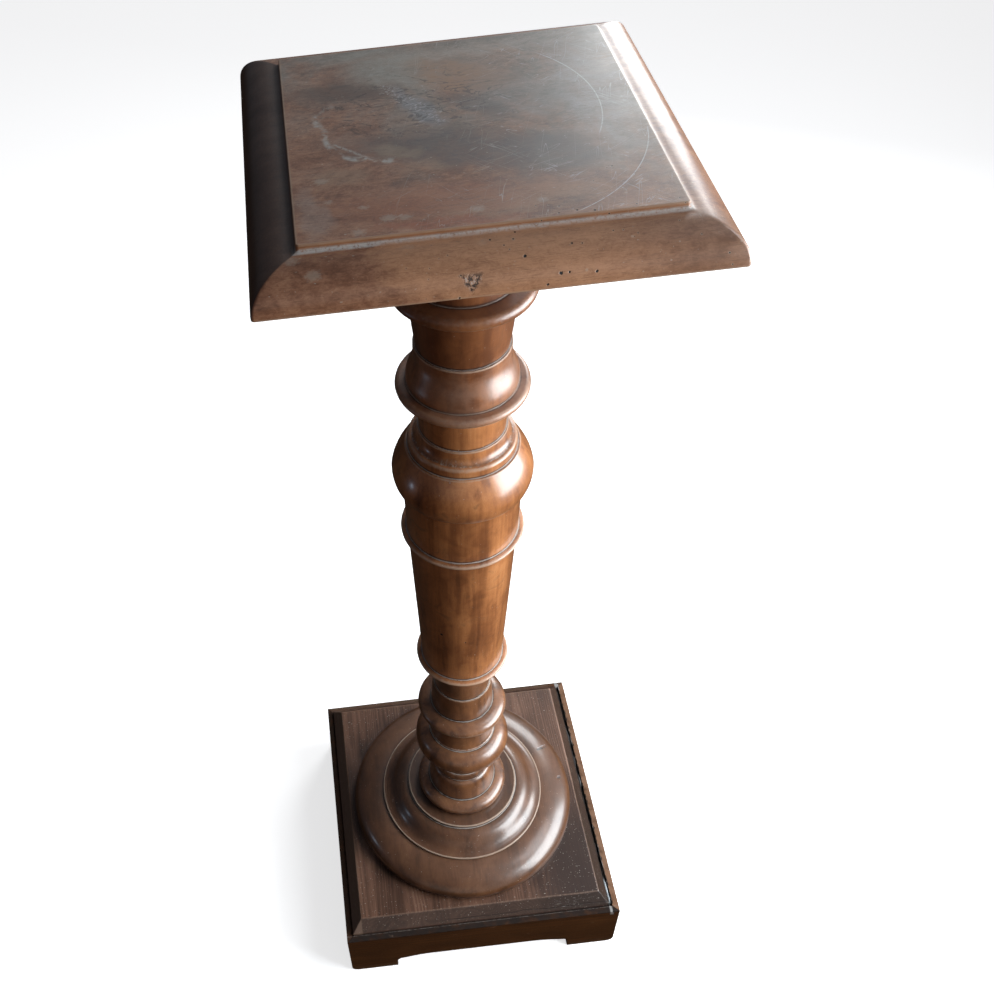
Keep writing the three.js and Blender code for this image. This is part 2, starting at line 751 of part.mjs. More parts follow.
// The round plate between the column and the top, with a cove under its edge.
function capitalPlate() {
  const boreRadius = PLATE_TENON_RADIUS + GLUE_LINE;
  const outline = new Turning()
    .standOnBore(boreRadius)
    .shelf(PLATE_RADIUS - PLATE_COVE_RUN)
    .swell(PLATE_RADIUS, PLATE_COVE_RISE, -PLATE_COVE_RUN / 2)
    .straight(PLATE_RADIUS, PLATE_THICKNESS - PLATE_COVE_RISE)
    .endInBore(boreRadius);
  return drilled(toBody(outline.geometry(COLUMN_SIDES)), plateScrewLength, PLATE_SCREW_CIRCLE, 0);
}

// ---------------------------------------------------------------------------
// Assembly
// ---------------------------------------------------------------------------

const pedestal = new THREE.Group();
const onAxis = new THREE.Group();
onAxis.position.x = axisX;
pedestal.add(onAxis);

function wood(colour, roughness) {
  return new THREE.MeshStandardMaterial({ color: colour, roughness, metalness: 0 });
}

function steel() {
  return new THREE.MeshStandardMaterial({ color: 0x8a8478, roughness: 0.45, metalness: 1 });
}

function place(parent, name, body, material, position, turn = 0) {
  const mesh = new THREE.Mesh(toGeometry(body), material);
  mesh.name = name;
  mesh.position.copy(position);
  mesh.rotation.z = turn;
  parent.add(mesh);
}

function atHeight(z) {
  return new THREE.Vector3(0, 0, z);
}

// Rails and glue blocks go round the frame in quarter turns, starting at the front rail
// and at the front left corner.
const quarter = Math.PI / 2;
const rails = [
  { side: 'front', length: frameWidth, x: 0, y: -frameDepth / 2 },
  { side: 'right', length: frameDepth, x: frameWidth / 2, y: 0 },
  { side: 'back', length: frameWidth, x: 0, y: frameDepth / 2 },
  { side: 'left', length: frameDepth, x: -frameWidth / 2, y: 0 },
];
rails.forEach(({ side, length, x, y }, i) => {
  const position = new THREE.Vector3(x, y, 0);
  place(pedestal, `plinth_rail_${side}`, rail(length), wood(0x3a2518, 0.5), position, i * quarter);
});

const blockX = frameWidth / 2 - RAIL_THICKNESS - GLUE_LINE;
const blockY = frameDepth / 2 - RAIL_THICKNESS - GLUE_LINE;
const blockZ = plinthBoardZ - GLUE_LINE - CORNER_BLOCK_HEIGHT;
const corners = [
  { corner: 'front_left', x: -blockX, y: -blockY },
  { corner: 'front_right', x: blockX, y: -blockY },
  { corner: 'back_right', x: blockX, y: blockY },
  { corner: 'back_left', x: -blockX, y: blockY },
];
corners.forEach(({ corner, x, y }, i) => {
  const position = new THREE.Vector3(x, y, blockZ);
  place(pedestal, `corner_block_${corner}`, cornerBlock(), wood(0x8f6a45, 0.8), position, i * quarter);
});

place(onAxis, 'plinth_board', plinthBoard(), wood(0x4d3327, 0.5), atHeight(plinthBoardZ));
place(onAxis, 'base_torus_disc', torusDisc(), wood(0x5c3e2b, 0.38), atHeight(torusZ));
place(onAxis, 'base_step_disc', stepDisc(), wood(0x5a3d2c, 0.38), atHeight(stepZ));

const foot = footTurning();
const shaftZ = footZ + foot.height + GLUE_LINE;
place(onAxis, 'column_foot', columnFoot(foot), wood(0x63402a, 0.32), atHeight(footZ));
place(onAxis, 'tenon_wedge', tenonWedge(), wood(0x9a7650, 0.8), atHeight(plinthBoardZ));

const shaft = shaftTurning();
const capitalZ = shaftZ + shaft.height + GLUE_LINE;
place(onAxis, 'column_shaft', columnShaft(shaft), wood(0x8a5632, 0.3), atHeight(shaftZ));

const capital = capitalTurning();
const plateZ = capitalZ + capital.height + GLUE_LINE;
place(onAxis, 'column_capital', columnCapital(capital), wood(0x6f452c, 0.32), atHeight(capitalZ));

const topZ = plateZ + PLATE_THICKNESS + GLUE_LINE;
place(onAxis, 'capital_plate', capitalPlate(), wood(0x4a3022, 0.5), atHeight(plateZ));
place(onAxis, 'top_board', topBoard(), wood(0x6e5a4c, 0.48), atHeight(topZ));

screwPlaces(PLATE_SCREW_CIRCLE, plateZ).forEach((position, i) => {
  place(onAxis, `plate_screw_${i + 1}`, slottedScrew(plateScrewLength), steel(), position);
});
screwPlaces(BASE_SCREW_CIRCLE, plinthBoardZ).forEach((position, i) => {
  place(onAxis, `base_screw_${i + 1}`, slottedScrew(baseScrewLength), steel(), position);
});

export default pedestal;
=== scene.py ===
# %% [markdown]
# # A turned walnut pedestal, dressed for its picture
# The stand is a square top on a turned column, two turned base discs and a plinth with cut-out feet.
# Its sizes are settled already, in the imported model. This lesson gives the wood its smooth turnings,
# soft edges, figure, polish and wear. Everything is in metres, with +Z up and the front towards -Y.

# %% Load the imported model
import math

import bmesh
import bpy
import numpy as np
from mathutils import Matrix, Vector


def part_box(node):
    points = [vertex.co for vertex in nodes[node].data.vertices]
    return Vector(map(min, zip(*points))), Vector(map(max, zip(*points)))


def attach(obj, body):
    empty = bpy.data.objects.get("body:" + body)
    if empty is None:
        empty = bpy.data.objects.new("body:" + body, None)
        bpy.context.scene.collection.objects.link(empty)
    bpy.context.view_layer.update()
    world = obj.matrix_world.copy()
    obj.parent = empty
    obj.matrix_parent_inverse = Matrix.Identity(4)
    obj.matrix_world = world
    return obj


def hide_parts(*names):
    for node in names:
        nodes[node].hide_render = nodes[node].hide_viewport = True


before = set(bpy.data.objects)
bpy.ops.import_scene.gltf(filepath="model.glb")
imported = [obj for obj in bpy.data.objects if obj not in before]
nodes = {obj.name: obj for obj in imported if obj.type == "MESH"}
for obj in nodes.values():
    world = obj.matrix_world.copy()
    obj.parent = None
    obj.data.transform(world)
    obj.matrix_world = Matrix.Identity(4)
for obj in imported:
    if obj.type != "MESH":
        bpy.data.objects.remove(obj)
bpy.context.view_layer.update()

MM = 0.001
AXIS_X = -1.7  # mm; the column's axis, off the middle because the board shrank to the left
print("CAD nodes:", len(nodes))

# %% [markdown]
# ## The camera
# The photograph was taken by hand from above, a little to the left. Its place comes from fitting one
# perspective camera to the corners of the boards. The picture was cropped afterwards, so the lens's
# middle isn't the picture's middle: a small shift puts that right, and no other trick is needed.

# %% Camera at the photograph's place
PICTURE_WIDTH = 994
PICTURE_HEIGHT = 995
FOCAL_PIXELS = 1105.164
LENS_MIDDLE = (356.037, 506.077)
CAMERA_TURN = np.array([2.40366, -0.14054, -0.04283])  # rotation vector, world to camera
CAMERA_PLACE = np.array([-0.10394, -0.65321, 1.39692])


def turn_matrix(vector):
    """The rotation about a vector's direction by its length: cos I + sin K + (1 - cos) u u'."""
    angle = np.linalg.norm(vector)
    u = vector / angle
    cross = np.array([[0, -u[2], u[1]], [u[2], 0, -u[0]], [-u[1], u[0], 0]])
    return np.cos(angle) * np.eye(3) + np.sin(angle) * cross + (1 - np.cos(angle)) * np.outer(u, u)


right, down, ahead = turn_matrix(CAMERA_TURN)
camera_data = bpy.data.cameras.new("photo_camera")
camera = bpy.data.objects.new("photo_camera", camera_data)
bpy.context.scene.collection.objects.link(camera)
camera_data.sensor_fit = "HORIZONTAL"
camera_data.sensor_width = 36.0
camera_data.lens = FOCAL_PIXELS * 36.0 / PICTURE_WIDTH
camera_data.shift_x = (PICTURE_WIDTH / 2 - LENS_MIDDLE[0]) / PICTURE_WIDTH
camera_data.shift_y = (LENS_MIDDLE[1] - PICTURE_HEIGHT / 2) / PICTURE_WIDTH
pose = np.eye(4)
pose[:3, 0] = right
pose[:3, 1] = -down
pose[:3, 2] = -ahead
pose[:3, 3] = CAMERA_PLACE
camera.matrix_world = pose.T.tolist()
bpy.context.scene.camera = camera
print("lens %.2f mm, shift %.3f %.3f" % (camera_data.lens, camera_data.shift_x, camera_data.shift_y))

# %% [markdown]
# ## From an outline to a surface
# A turner cuts one member after another: a shelf, a round, a hollow, a taper. `Outline` does the same
# in the half-plane of the lathe, with exact quarter ellipses and Bezier curves. A knife-sharp arris
# never survives a century of dusting, so each corner is cut back a little and bridged by a small curve.
# The catch-light on a real moulding lives in exactly that curve.

# %% Outline of a turning or a moulding
CURVE_STEP = 0.9  # mm between points on a curve
FACE_STEP = 3.0  # mm between points on a straight face
ARRIS_SPLIT = 5  # points on a softened corner
CORNER = math.radians(12)  # a smaller bend between two runs is no corner
ARRIS_SHARE = 0.3  # how much of a run a softened corner may take


class Outline:
    """Runs of (across, up) points in mm, each run one member of the outline."""

    def __init__(self, across, up):
        self.here = np.array([across, up], float)
        self.runs = []

    def add(self, points):
        self.runs.append(points)
        self.here = points[-1]
        return self

    def line_to(self, across, up):
        """Points on a straight face: evenly spaced, with more close to both ends, where wear changes."""
        there = np.array([across, up], float)
        length = np.linalg.norm(there - self.here)
        t = np.linspace(0, 1, max(3, int(length / FACE_STEP) + 2))
        if length > 4:
            close = np.array([0.8, 1.7]) / length
            t = np.unique(np.r_[t, close, 1 - close].round(5))
        return self.add(self.here + (there - self.here) * t[:, None])

    def shelf(self, across):
        return self.line_to(across, self.here[1])

    def straight(self, across, rise):
        return self.line_to(across, self.here[1] + rise)

    def quarter(self, middle, reach, rise, start, end):
        """Part of an ellipse: middle + (reach cos a, rise sin a) for a from start to end."""
        count = max(8, int((reach + rise) * 0.8 / CURVE_STEP))
        a = np.linspace(math.radians(start), math.radians(end), count)
        return self.add(np.stack([middle[0] + reach * np.cos(a), middle[1] + rise * np.sin(a)], 1))

    def round_out(self, across, rise):
        middle = (self.here[0], self.here[1] + rise)
        return self.quarter(middle, across - self.here[0], rise, -90, 0)

    def round_in(self, across, rise):
        return self.quarter((across, self.here[1]), self.here[0] - across, rise, 0, 90)

    def hollow_in(self, across, rise):
        middle = (self.here[0], self.here[1] + rise)
        return self.quarter(middle, self.here[0] - across, rise, -90, -180)

    def roll(self, across, rise, top):
        return self.round_out(across, rise / 2).round_in(top, rise / 2)

    def bezier(self, *controls):
        """A Bezier curve by de Casteljau: neighbouring control points are blended until one is left."""
        hull = [self.here] + [np.array(c, float) for c in controls]
        reach = sum(np.linalg.norm(b - a) for a, b in zip(hull, hull[1:]))
        t = np.linspace(0, 1, max(8, int(reach / CURVE_STEP)))[:, None]
        while len(hull) > 1:
            hull = [a * (1 - t) + b * t for a, b in zip(hull, hull[1:])]
        return self.add(hull[0])

    def swell(self, across, rise, fullness):
        middle = ((self.here[0] + across) / 2 + fullness, self.here[1] + rise / 2)
        return self.bezier(middle, (across, self.here[1] + rise))

    def shoulder(self, across, rise):
        """Nearly upright at first, then rounding in quickly, as over a shoulder."""
        x, z = self.here
        return self.bezier((x - 0.1, z + rise / 2), (x - 1.1, z + rise * 0.9), (across, z + rise))

    def cyma(self, across, rise):
        middle = (self.here[0] + across) / 2
        top = self.here[1] + rise
        return self.bezier((middle, self.here[1]), (middle, top), (across, top))

    def bell(self, across, rise, fullness, hollow):
        x, z = self.here
        low = (x + fullness, z + rise / 3)
        high = (across - hollow, z + rise * 2 / 3)
        return self.bezier(low, high, (across, z + rise))

    def softened(self, cut):
        """All the points, with each corner between two runs cut back by up to `cut` mm and bridged by
        a quadratic curve through (1-t)^2 A + 2t(1-t) corner + t^2 B."""
        lengths = [np.linalg.norm(np.diff(r, axis=0), axis=1).sum() for r in self.runs]
        cuts = [0.0]
        for k, (before, after) in enumerate(zip(self.runs, self.runs[1:])):
            a = before[-1] - before[-2]
            b = after[1] - after[0]
            bend = abs(math.atan2(a[0] * b[1] - a[1] * b[0], a @ b))
            room = ARRIS_SHARE * min(lengths[k], lengths[k + 1])
            cuts.append(min(cut, room) if bend > CORNER else 0.0)
        cuts.append(0.0)
        t = np.linspace(0, 1, ARRIS_SPLIT)[:, None]
        pieces = []
        for k, run in enumerate(self.runs):
            along = np.r_[0, np.cumsum(np.linalg.norm(np.diff(run, axis=0), axis=1))]
            ends = cuts[k] + along * (along[-1] - cuts[k] - cuts[k + 1]) / along[-1]
            kept = np.stack([np.interp(ends, along, run[:, i]) for i in (0, 1)], 1)
            if k and cuts[k]:
                a = pieces[-1][-1]
                bridge = a * (1 - t) ** 2 + 2 * t * (1 - t) * run[0] + kept[0] * t**2
                pieces.append(bridge[1:-1])
            elif k:
                kept = kept[1:]
            pieces.append(kept)
        return np.concatenate(pieces)


# %% [markdown]
# ## Wear and painted shade that follow the shape
# Hands and dusters rub the arrises bright, and the hollows are painted darker, partly as wax and soot and
# partly as painted shade. Both depend only on how the outline bends, so they are worked out once, along
# the outline, and carried round as attributes: `wear` is 1 on a proud edge, 0 on a plain face and -1 deep
# in a corner, `lies` is how much a point faces up, `dust` is where pale dust lodges at the foot of a riser,
# and `bedded` is how far a point lies inside its neighbourhood.

# %% Bend of an outline
WEAR_REACH = 1.3  # mm that a corner's wear spreads along the face
DUST_REACH = 0.8  # mm that the dust in a hollow corner spreads along the shelf
BED_REACH = 14.0  # mm of outline that count as a point's neighbourhood
BED_DEPTH = 10.0  # mm inside the neighbourhood that count as fully bedded


def steps_and_gaps(outline):
    """The steps between points, and the distance along the outline from each point to each other."""
    step = np.diff(outline, axis=0)
    along = np.r_[0, np.cumsum(np.linalg.norm(step, axis=1))]
    return step, along[:, None] - along[None, :]


def turning(step):
    """The angle that the outline turns by at each point, positive at a proud edge."""
    heading = np.unwrap(np.arctan2(step[:, 1], step[:, 0]))
    return np.r_[0, np.diff(heading), 0]


def smeared(values, gap, reach):
    """Sum of the values, each times a bell curve of its distance along the outline over reach."""
    return (np.exp(-((gap / reach) ** 2)) * values[None, :]).sum(1)


def wear_along(outline):
    """Turning angle at each point, smeared over WEAR_REACH; 1.2 radians count as fully worn."""
    step, gap = steps_and_gaps(outline)
    return np.clip(smeared(turning(step), gap, WEAR_REACH) / 1.2, -1, 1)


def lies_along(outline):
    """How much each point faces up: the inward share of the step there, from 0 to 1."""
    step = np.diff(outline, axis=0)
    share = np.clip(-step[:, 0] / np.maximum(np.linalg.norm(step, axis=1), 1e-6), 0, 1)
    return (np.r_[share, share[-1]] + np.r_[share[0], share]) / 2


def dust_along(outline):
    """Dust lodges in hollow corners, on the side that faces up: turning inwards, smeared over
    DUST_REACH, times how much the point faces up."""
    step, gap = steps_and_gaps(outline)
    inward = np.maximum(-turning(step), 0)
    return np.clip(smeared(inward, gap, DUST_REACH), 0, 1) * np.clip(lies_along(outline) * 1.6, 0, 1)


def bedded_along(outline):
    """Mean radius of the neighbourhood less the point's own, in BED_DEPTH."""
    gap = steps_and_gaps(outline)[1]
    radius = outline[:, 0]
    mean = smeared(radius, gap, BED_REACH) / smeared(np.ones(len(radius)), gap, BED_REACH)
    return np.clip((mean - radius) / BED_DEPTH, -1, 1)


# %% [markdown]
# ## Carrying the outline round
# A lathe carries the outline round a circle. A moulding plane carries it along four edges, which is the
# same surface with the circle swapped for a square with slightly eased corners. One function makes the
# mesh of both: a grid with one row per outline point and one column per step round, closed sideways,
# and shrunk to a single vertex where a row has no size.

# %% Grid to mesh
POLE_SIZE = 1e-7  # m; a row no larger than this is one point


def surface(name, rows, closed, attributes):
    """rows[i, j] is the point of outline step i at step j round. Quads join neighbours; a row whose
    points all meet becomes one pole with a fan of triangles. `closed` also joins the last row to the
    first. attributes: name -> one value per row."""
    count, around = rows.shape[:2]
    pole = np.ptp(rows, axis=1).max(1) < POLE_SIZE
    width = np.where(pole, 1, around)
    first = np.r_[0, np.cumsum(width)[:-1]]
    points = np.concatenate([rows[i, : width[i]] for i in range(count)])
    j = np.arange(around)
    k = (j + 1) % around
    faces = []
    for i in range(count if closed else count - 1):
        n = (i + 1) % count
        a, b = first[i] + j * (not pole[i]), first[i] + k * (not pole[i])
        d, c = first[n] + j * (not pole[n]), first[n] + k * (not pole[n])
        if pole[i] and pole[n]:
            continue
        if pole[i]:
            faces += np.stack([a, c, d], 1).tolist()
        elif pole[n]:
            faces += np.stack([a, b, c], 1).tolist()
        else:
            faces += np.stack([a, b, c, d], 1).tolist()
    mesh = bpy.data.meshes.new(name)
    mesh.from_pydata(points.tolist(), [], faces)
    mesh.polygons.foreach_set("use_smooth", np.ones(len(mesh.polygons), bool))
    for key, values in attributes.items():
        spread = np.concatenate([np.full(width[i], values[i]) for i in range(count)])
        mesh.attributes.new(key, "FLOAT", "POINT").data.foreach_set("value", spread.astype(np.float32))
    mesh.update()
    piece = bpy.data.objects.new(name, mesh)
    bpy.context.scene.collection.objects.link(piece)
    return piece


def along_the_outline(points):
    return {
        "wear": wear_along(points),
        "bedded": bedded_along(points),
        "lies": lies_along(points),
        "dust": dust_along(points),
    }


def turned(name, outline, cut=0.7, sides=144, closed=False):
    """Each outline point (r, z) goes round a circle: x = axis + r cos a, y = r sin a."""
    points = outline.softened(cut)
    a = np.arange(sides) * 2 * np.pi / sides
    r = points[:, 0][:, None]
    z = np.broadcast_to(points[:, 1][:, None], (len(points), sides))
    rows = np.stack([AXIS_X + r * np.cos(a), r * np.sin(a), z], 2) * MM
    piece = surface(name, rows, closed, along_the_outline(points))
    print(name, "outline points", len(points), "triangles about", 2 * len(points) * sides)
    return piece


def squared(name, outline, corner, cut=0.7, side_steps=24, corner_steps=6, closed=False):
    """Each outline point (h, z) goes round a square of half side h whose corners have radius
    min(corner, h): a side is walked straight, then a quarter circle turns to the next side."""
    points = outline.softened(cut)
    h = points[:, 0][:, None]
    ease = np.minimum(corner, h)
    t = np.linspace(-1, 1, side_steps)
    a = np.linspace(0, np.pi / 2, corner_steps + 2)[1:-1]
    reach = h - ease
    straight = np.stack([np.broadcast_to(h, (len(points), side_steps)), reach * t], 2)
    bend = np.stack([reach + ease * np.cos(a), reach + ease * np.sin(a)], 2)
    quarter = np.concatenate([straight, bend], 1)
    x, y = quarter[..., 0], quarter[..., 1]
    ring = np.concatenate([np.stack(p, 2) for p in ((x, y), (-y, x), (-x, -y), (y, -x))], 1)
    z = np.broadcast_to(points[:, 1][:, None], ring.shape[:2])
    rows = np.stack([AXIS_X + ring[..., 0], ring[..., 1], z], 2) * MM
    piece = surface(name, rows, closed, along_the_outline(points))
    print(name, "outline points", len(points), "triangles about", 2 * ring.shape[0] * ring.shape[1])
    return piece


def stands_for(piece, node):
    """The piece takes the place of one CAD node, which is hidden; the largest difference between their boxes,
    in mm, is printed.
    """
    low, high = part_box(node)
    points = np.empty(len(piece.data.vertices) * 3, np.float32)
    piece.data.vertices.foreach_get("co", points)
    points = points.reshape(-1, 3)
    off = np.abs(np.r_[points.min(0) - np.array(low), points.max(0) - np.array(high)]).max() / MM
    print(piece.name, "stands for", node, "and differs by at most %.2f mm" % off)
    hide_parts(node)
    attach(piece, "root")
    return piece


# %% [markdown]
# ## The column's foot
# From the base upwards: a shoe, a flared ankle with a small bead, a ball, a hollow waist, a thin domed
# disc, a flare and a long neck. All of it is one turning, so one outline, and its tenon runs down
# through the discs and the plinth board. A screw-modifier spin would do the same, but the numpy grid
# lets each point carry its wear.

# %% Column foot
FOOT_Z = 157.9
FOOT_TENON = 16
foot = Outline(0, 84.35).shelf(FOOT_TENON).line_to(FOOT_TENON, FOOT_Z).shelf(47)
foot.roll(52.3, 16, 40).shelf(38.7).straight(38.7, 1.5).shoulder(31.5, 31)
foot.shelf(30.6).straight(30.6, 2).roll(33.8, 13, 31).straight(31, 29).shelf(34)
foot.roll(52.6, 33.5, 36.2).straight(36.2, 1.5).hollow_in(31, 47).shelf(47)
foot.straight(48.2, 3).round_in(34, 8.8).shelf(33.6).straight(33.6, 1.5).swell(31, 34.5, 0.9)
foot.shelf(29.7).swell(33, 52.5, -0.9).shelf(15).straight(15, 40).shelf(0)
column_foot = stands_for(turned("column_foot_turning", foot), "column_foot")

# %% [markdown]
# ## The column's shaft
# A ring, a long taper, a second ring, a plain band, and the bulb, with a little stack of fillets and a
# cove above it where the shoulder runs in to the neck. The bulb carries the brightest reflection of the
# whole stand, so its curve has to be free of facets.

# %% Column shaft
SHAFT_Z = 433.0
shaft = Outline(0, SHAFT_Z + 42).shelf(15.3).line_to(15.3, SHAFT_Z).shelf(43.5)
shaft.roll(47, 5.3, 41.3).straight(49.7, 195).shelf(52.5).roll(55.6, 5, 50.4).straight(51.8, 57.2)
shaft.shelf(53).round_out(60.6, 18.5).swell(48.2, 27, 3.8).shelf(46).straight(46, 6)
shaft.round_in(43.2, 3.4).hollow_in(38.1, 9.5).straight(38.1, 3.2).shelf(36.2).straight(36.8, 40.1)
shaft.shelf(15.3).straight(15.3, -42).shelf(0)
column_shaft = stands_for(turned("column_shaft_turning", shaft), "column_shaft")

# %% [markdown]
# ## The capital and the plate
# A rounded collar, a bell, a fillet, a slightly swelling throat, a half-round flange and a plain neck
# that disappears under the top. Above it a round plate with a cove under its edge spreads the load.

# %% Column capital and plate
CAPITAL_Z = 803.5
capital = Outline(0, CAPITAL_Z - 40).shelf(15).line_to(15, CAPITAL_Z).shelf(50)
capital.roll(53.9, 8, 50).shelf(44.4).bell(38.6, 31.5, 3.4, 1.6).straight(38.6, 6).shelf(36.6)
capital.swell(41.4, 49.5, 0.9).shelf(51).roll(56, 11.2, 51).shelf(40).straight(40, 68.2)
capital.shelf(18).straight(18, 20).shelf(0)
column_capital = stands_for(turned("column_capital_turning", capital), "column_capital")

PLATE_Z = 978.2
plate = Outline(18.3, PLATE_Z + 0.3).shelf(70).swell(78, 8.7, -4).straight(78, 12.5).shelf(18.3)
plate.line_to(18.3, PLATE_Z + 0.3)
capital_plate = stands_for(turned("capital_plate_turning", plate, closed=True), "capital_plate")

# %% [markdown]
# ## The base discs
# The lower disc is a fat torus with a flat top. The upper one is thin, with a sharp arris at its foot
# and a cyma sweeping up to a small fillet. Both are faceplate work, turned from flat boards, so their
# grain runs straight across them.

# %% Base discs
TORUS_Z = 109.3
torus = Outline(16.3, TORUS_Z).shelf(130.5).round_out(134, 7.7).round_in(98, 19.5).shelf(16.3)
torus.line_to(16.3, TORUS_Z)
base_torus = stands_for(turned("base_torus_turning", torus, sides=192, closed=True), "base_torus_disc")

STEP_Z = 136.8
step = Outline(16.3, STEP_Z).shelf(97).straight(97, 2.7).cyma(67.2, 14.3).shelf(65.2)
step.straight(65.2, 3.8).shelf(16.3).line_to(16.3, STEP_Z)
base_step = stands_for(turned("base_step_turning", step, cut=0.8, sides=192, closed=True), "base_step_disc")

# %% [markdown]
# ## The two square boards
# The top is one thick board with a raised field, a small cove round it and a wide ovolo planed on all
# four edges. The board of the plinth is plainer: an upright edge and a steep bevel. The same outline
# goes round a square, which mitres the moulding by itself, and the corners are worn slightly round.

# %% Top board and plinth board
TOP_Z = 1000.0
top = Outline(0, TOP_Z).shelf(145.2).straight(145.2, 2).round_in(120.2, 21)
top.bezier((114.9, TOP_Z + 23), (114.9, TOP_Z + 25.5)).straight(114.9, 2.5).shelf(0)
top_board = stands_for(squared("top_board_moulded", top, corner=2.2, cut=0.9), "top_board")

BOARD_Z = 84.0
board = Outline(16.3, BOARD_Z + 0.35).shelf(152.5).line_to(152.5, BOARD_Z + 9.5)
board.line_to(140.8, BOARD_Z + 25).shelf(16.3).line_to(16.3, BOARD_Z + 0.35)
board_piece = squared("plinth_board_moulded", board, corner=1.0, cut=1.1, closed=True)
plinth_board = stands_for(board_piece, "plinth_board")

# %% [markdown]
# ## The four rails
# The rails' shape is right as it is: a rebate for the board above, a bracket foot cut at each end below.
# What they lack is softness. A copy is welded, its flat faces are joined into one each, and a small
# bevel rounds what is left. Weighted normals keep the big faces flat beside the rounded edges.

# %% Soft-edged copies of the rails
RAIL_BEVEL = 1.1  # mm
BEVEL_STEPS = 3
WELD = 0.00002  # m; vertices closer than this are one
FLAT = math.radians(0.6)  # faces that bend less than this are joined
SHARP = math.radians(30)  # edges that bend more than this are bevelled
RAILS = ("plinth_rail_front", "plinth_rail_right", "plinth_rail_back", "plinth_rail_left")


def soft_copy(node, width):
    """A welded copy of a CAD node with flat faces joined and a bevel on every sharp edge."""
    name = node + "_soft"
    mesh = nodes[node].data.copy()
    mesh.name = name
    mesh.materials.clear()
    shell = bmesh.new()
    shell.from_mesh(mesh)
    bmesh.ops.remove_doubles(shell, verts=shell.verts[:], dist=WELD)
    bmesh.ops.dissolve_limit(shell, angle_limit=FLAT, verts=shell.verts[:], edges=shell.edges[:])
    shell.to_mesh(mesh)
    shell.free()
    mesh.polygons.foreach_set("use_smooth", np.ones(len(mesh.polygons), bool))
    piece = bpy.data.objects.new(name, mesh)
    bpy.context.scene.collection.objects.link(piece)
    bevel = piece.modifiers.new("worn_edges", "BEVEL")
    bevel.width = width * MM
    bevel.segments = BEVEL_STEPS
    bevel.limit_method = "ANGLE"
    bevel.angle_limit = SHARP
    bevel.use_clamp_overlap = True
    even = piece.modifiers.new("flat_faces", "WEIGHTED_NORMAL")
    even.keep_sharp = False
    print(name, "faces before bevel", len(mesh.polygons))
    return piece


rails = {}
for rail_node in RAILS:
    rails[rail_node] = soft_copy(rail_node, RAIL_BEVEL)
    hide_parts(rail_node)
    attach(rails[rail_node], "root")

# %% [markdown]
# ## Old glue in the shrinkage gap
# The plinth board has shrunk and left a dark, ragged gap along the right rail. Somebody has run glue
# into it since, which has dried pale and broken up. A half-round bead on the rebate's floor is carried
# along the gap, and its width and height wander, so that it swells near the front and sinks elsewhere.

# %% Glue bead
GLUE_FROM, GLUE_TO = -151.9, 151.9
GLUE_X = 152.55
GLUE_FLOOR = 83.72


def wander(t, seed, waves=9):
    """A sum of sines with seeded phases and falling strengths, scaled to about -1..1."""
    rng = np.random.default_rng(seed)
    pitch = rng.uniform(2, 70, waves)
    phase = rng.uniform(0, 2 * np.pi, waves)
    return (np.sin(t[:, None] * pitch + phase) / np.sqrt(pitch)).sum(1) / 0.9


def glue_bead():
    """Along y: an arch of half width w(y) and height h(y), closed below, tapering to a point at each
    end; both follow `wander`, and h grows towards the front. The sides bulge: cos and sin of the arch
    angle are raised to small powers."""
    along = np.linspace(0, 1, 260)
    y = GLUE_FROM + (GLUE_TO - GLUE_FROM) * along
    ends = np.clip(np.minimum(along, 1 - along) * 60, 0, 1)
    front = np.clip((-y - 90) / 60, 0, 1)
    height = np.clip(2.0 + 4 * wander(along, 4) + 5 * front**2, 0.6, 7) * ends
    half = (1.35 + 0.12 * wander(along, 7)) * np.clip(ends, 0.02, 1)
    middle = GLUE_X + 0.25 * wander(along, 11)
    a = np.linspace(0, np.pi, 9)
    arch_x = middle[:, None] + half[:, None] * np.sign(np.cos(a)) * np.abs(np.cos(a)) ** 0.35
    arch_z = GLUE_FLOOR + height[:, None] * np.sin(a) ** 0.6
    rows = np.stack([arch_x, np.broadcast_to(y[:, None], arch_x.shape), arch_z], 2) * MM
    centre = rows.mean(1, keepdims=True)
    rows[0] = centre[0]
    rows[-1] = centre[-1]
    return surface("old_glue", rows[::-1], False, {"wear": np.zeros(len(rows))})


old_glue = glue_bead()
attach(old_glue, "root")
print("glue bead triangles", 2 * len(old_glue.data.polygons))

# %% [markdown]
# ## Arithmetic on sockets
# Wood is a sum of many simple patterns: distances, waves, noises, masks. Wired by hand that is a cobweb
# of Math nodes. `Value` wraps one socket so that `1 - mask * 0.4` adds those nodes by itself, `Nodes`
# makes every other node from its type, settings and inputs, and `Recipe` is one material: it keeps the
# colour, height, roughness and coat so far, and each mark is laid over them.

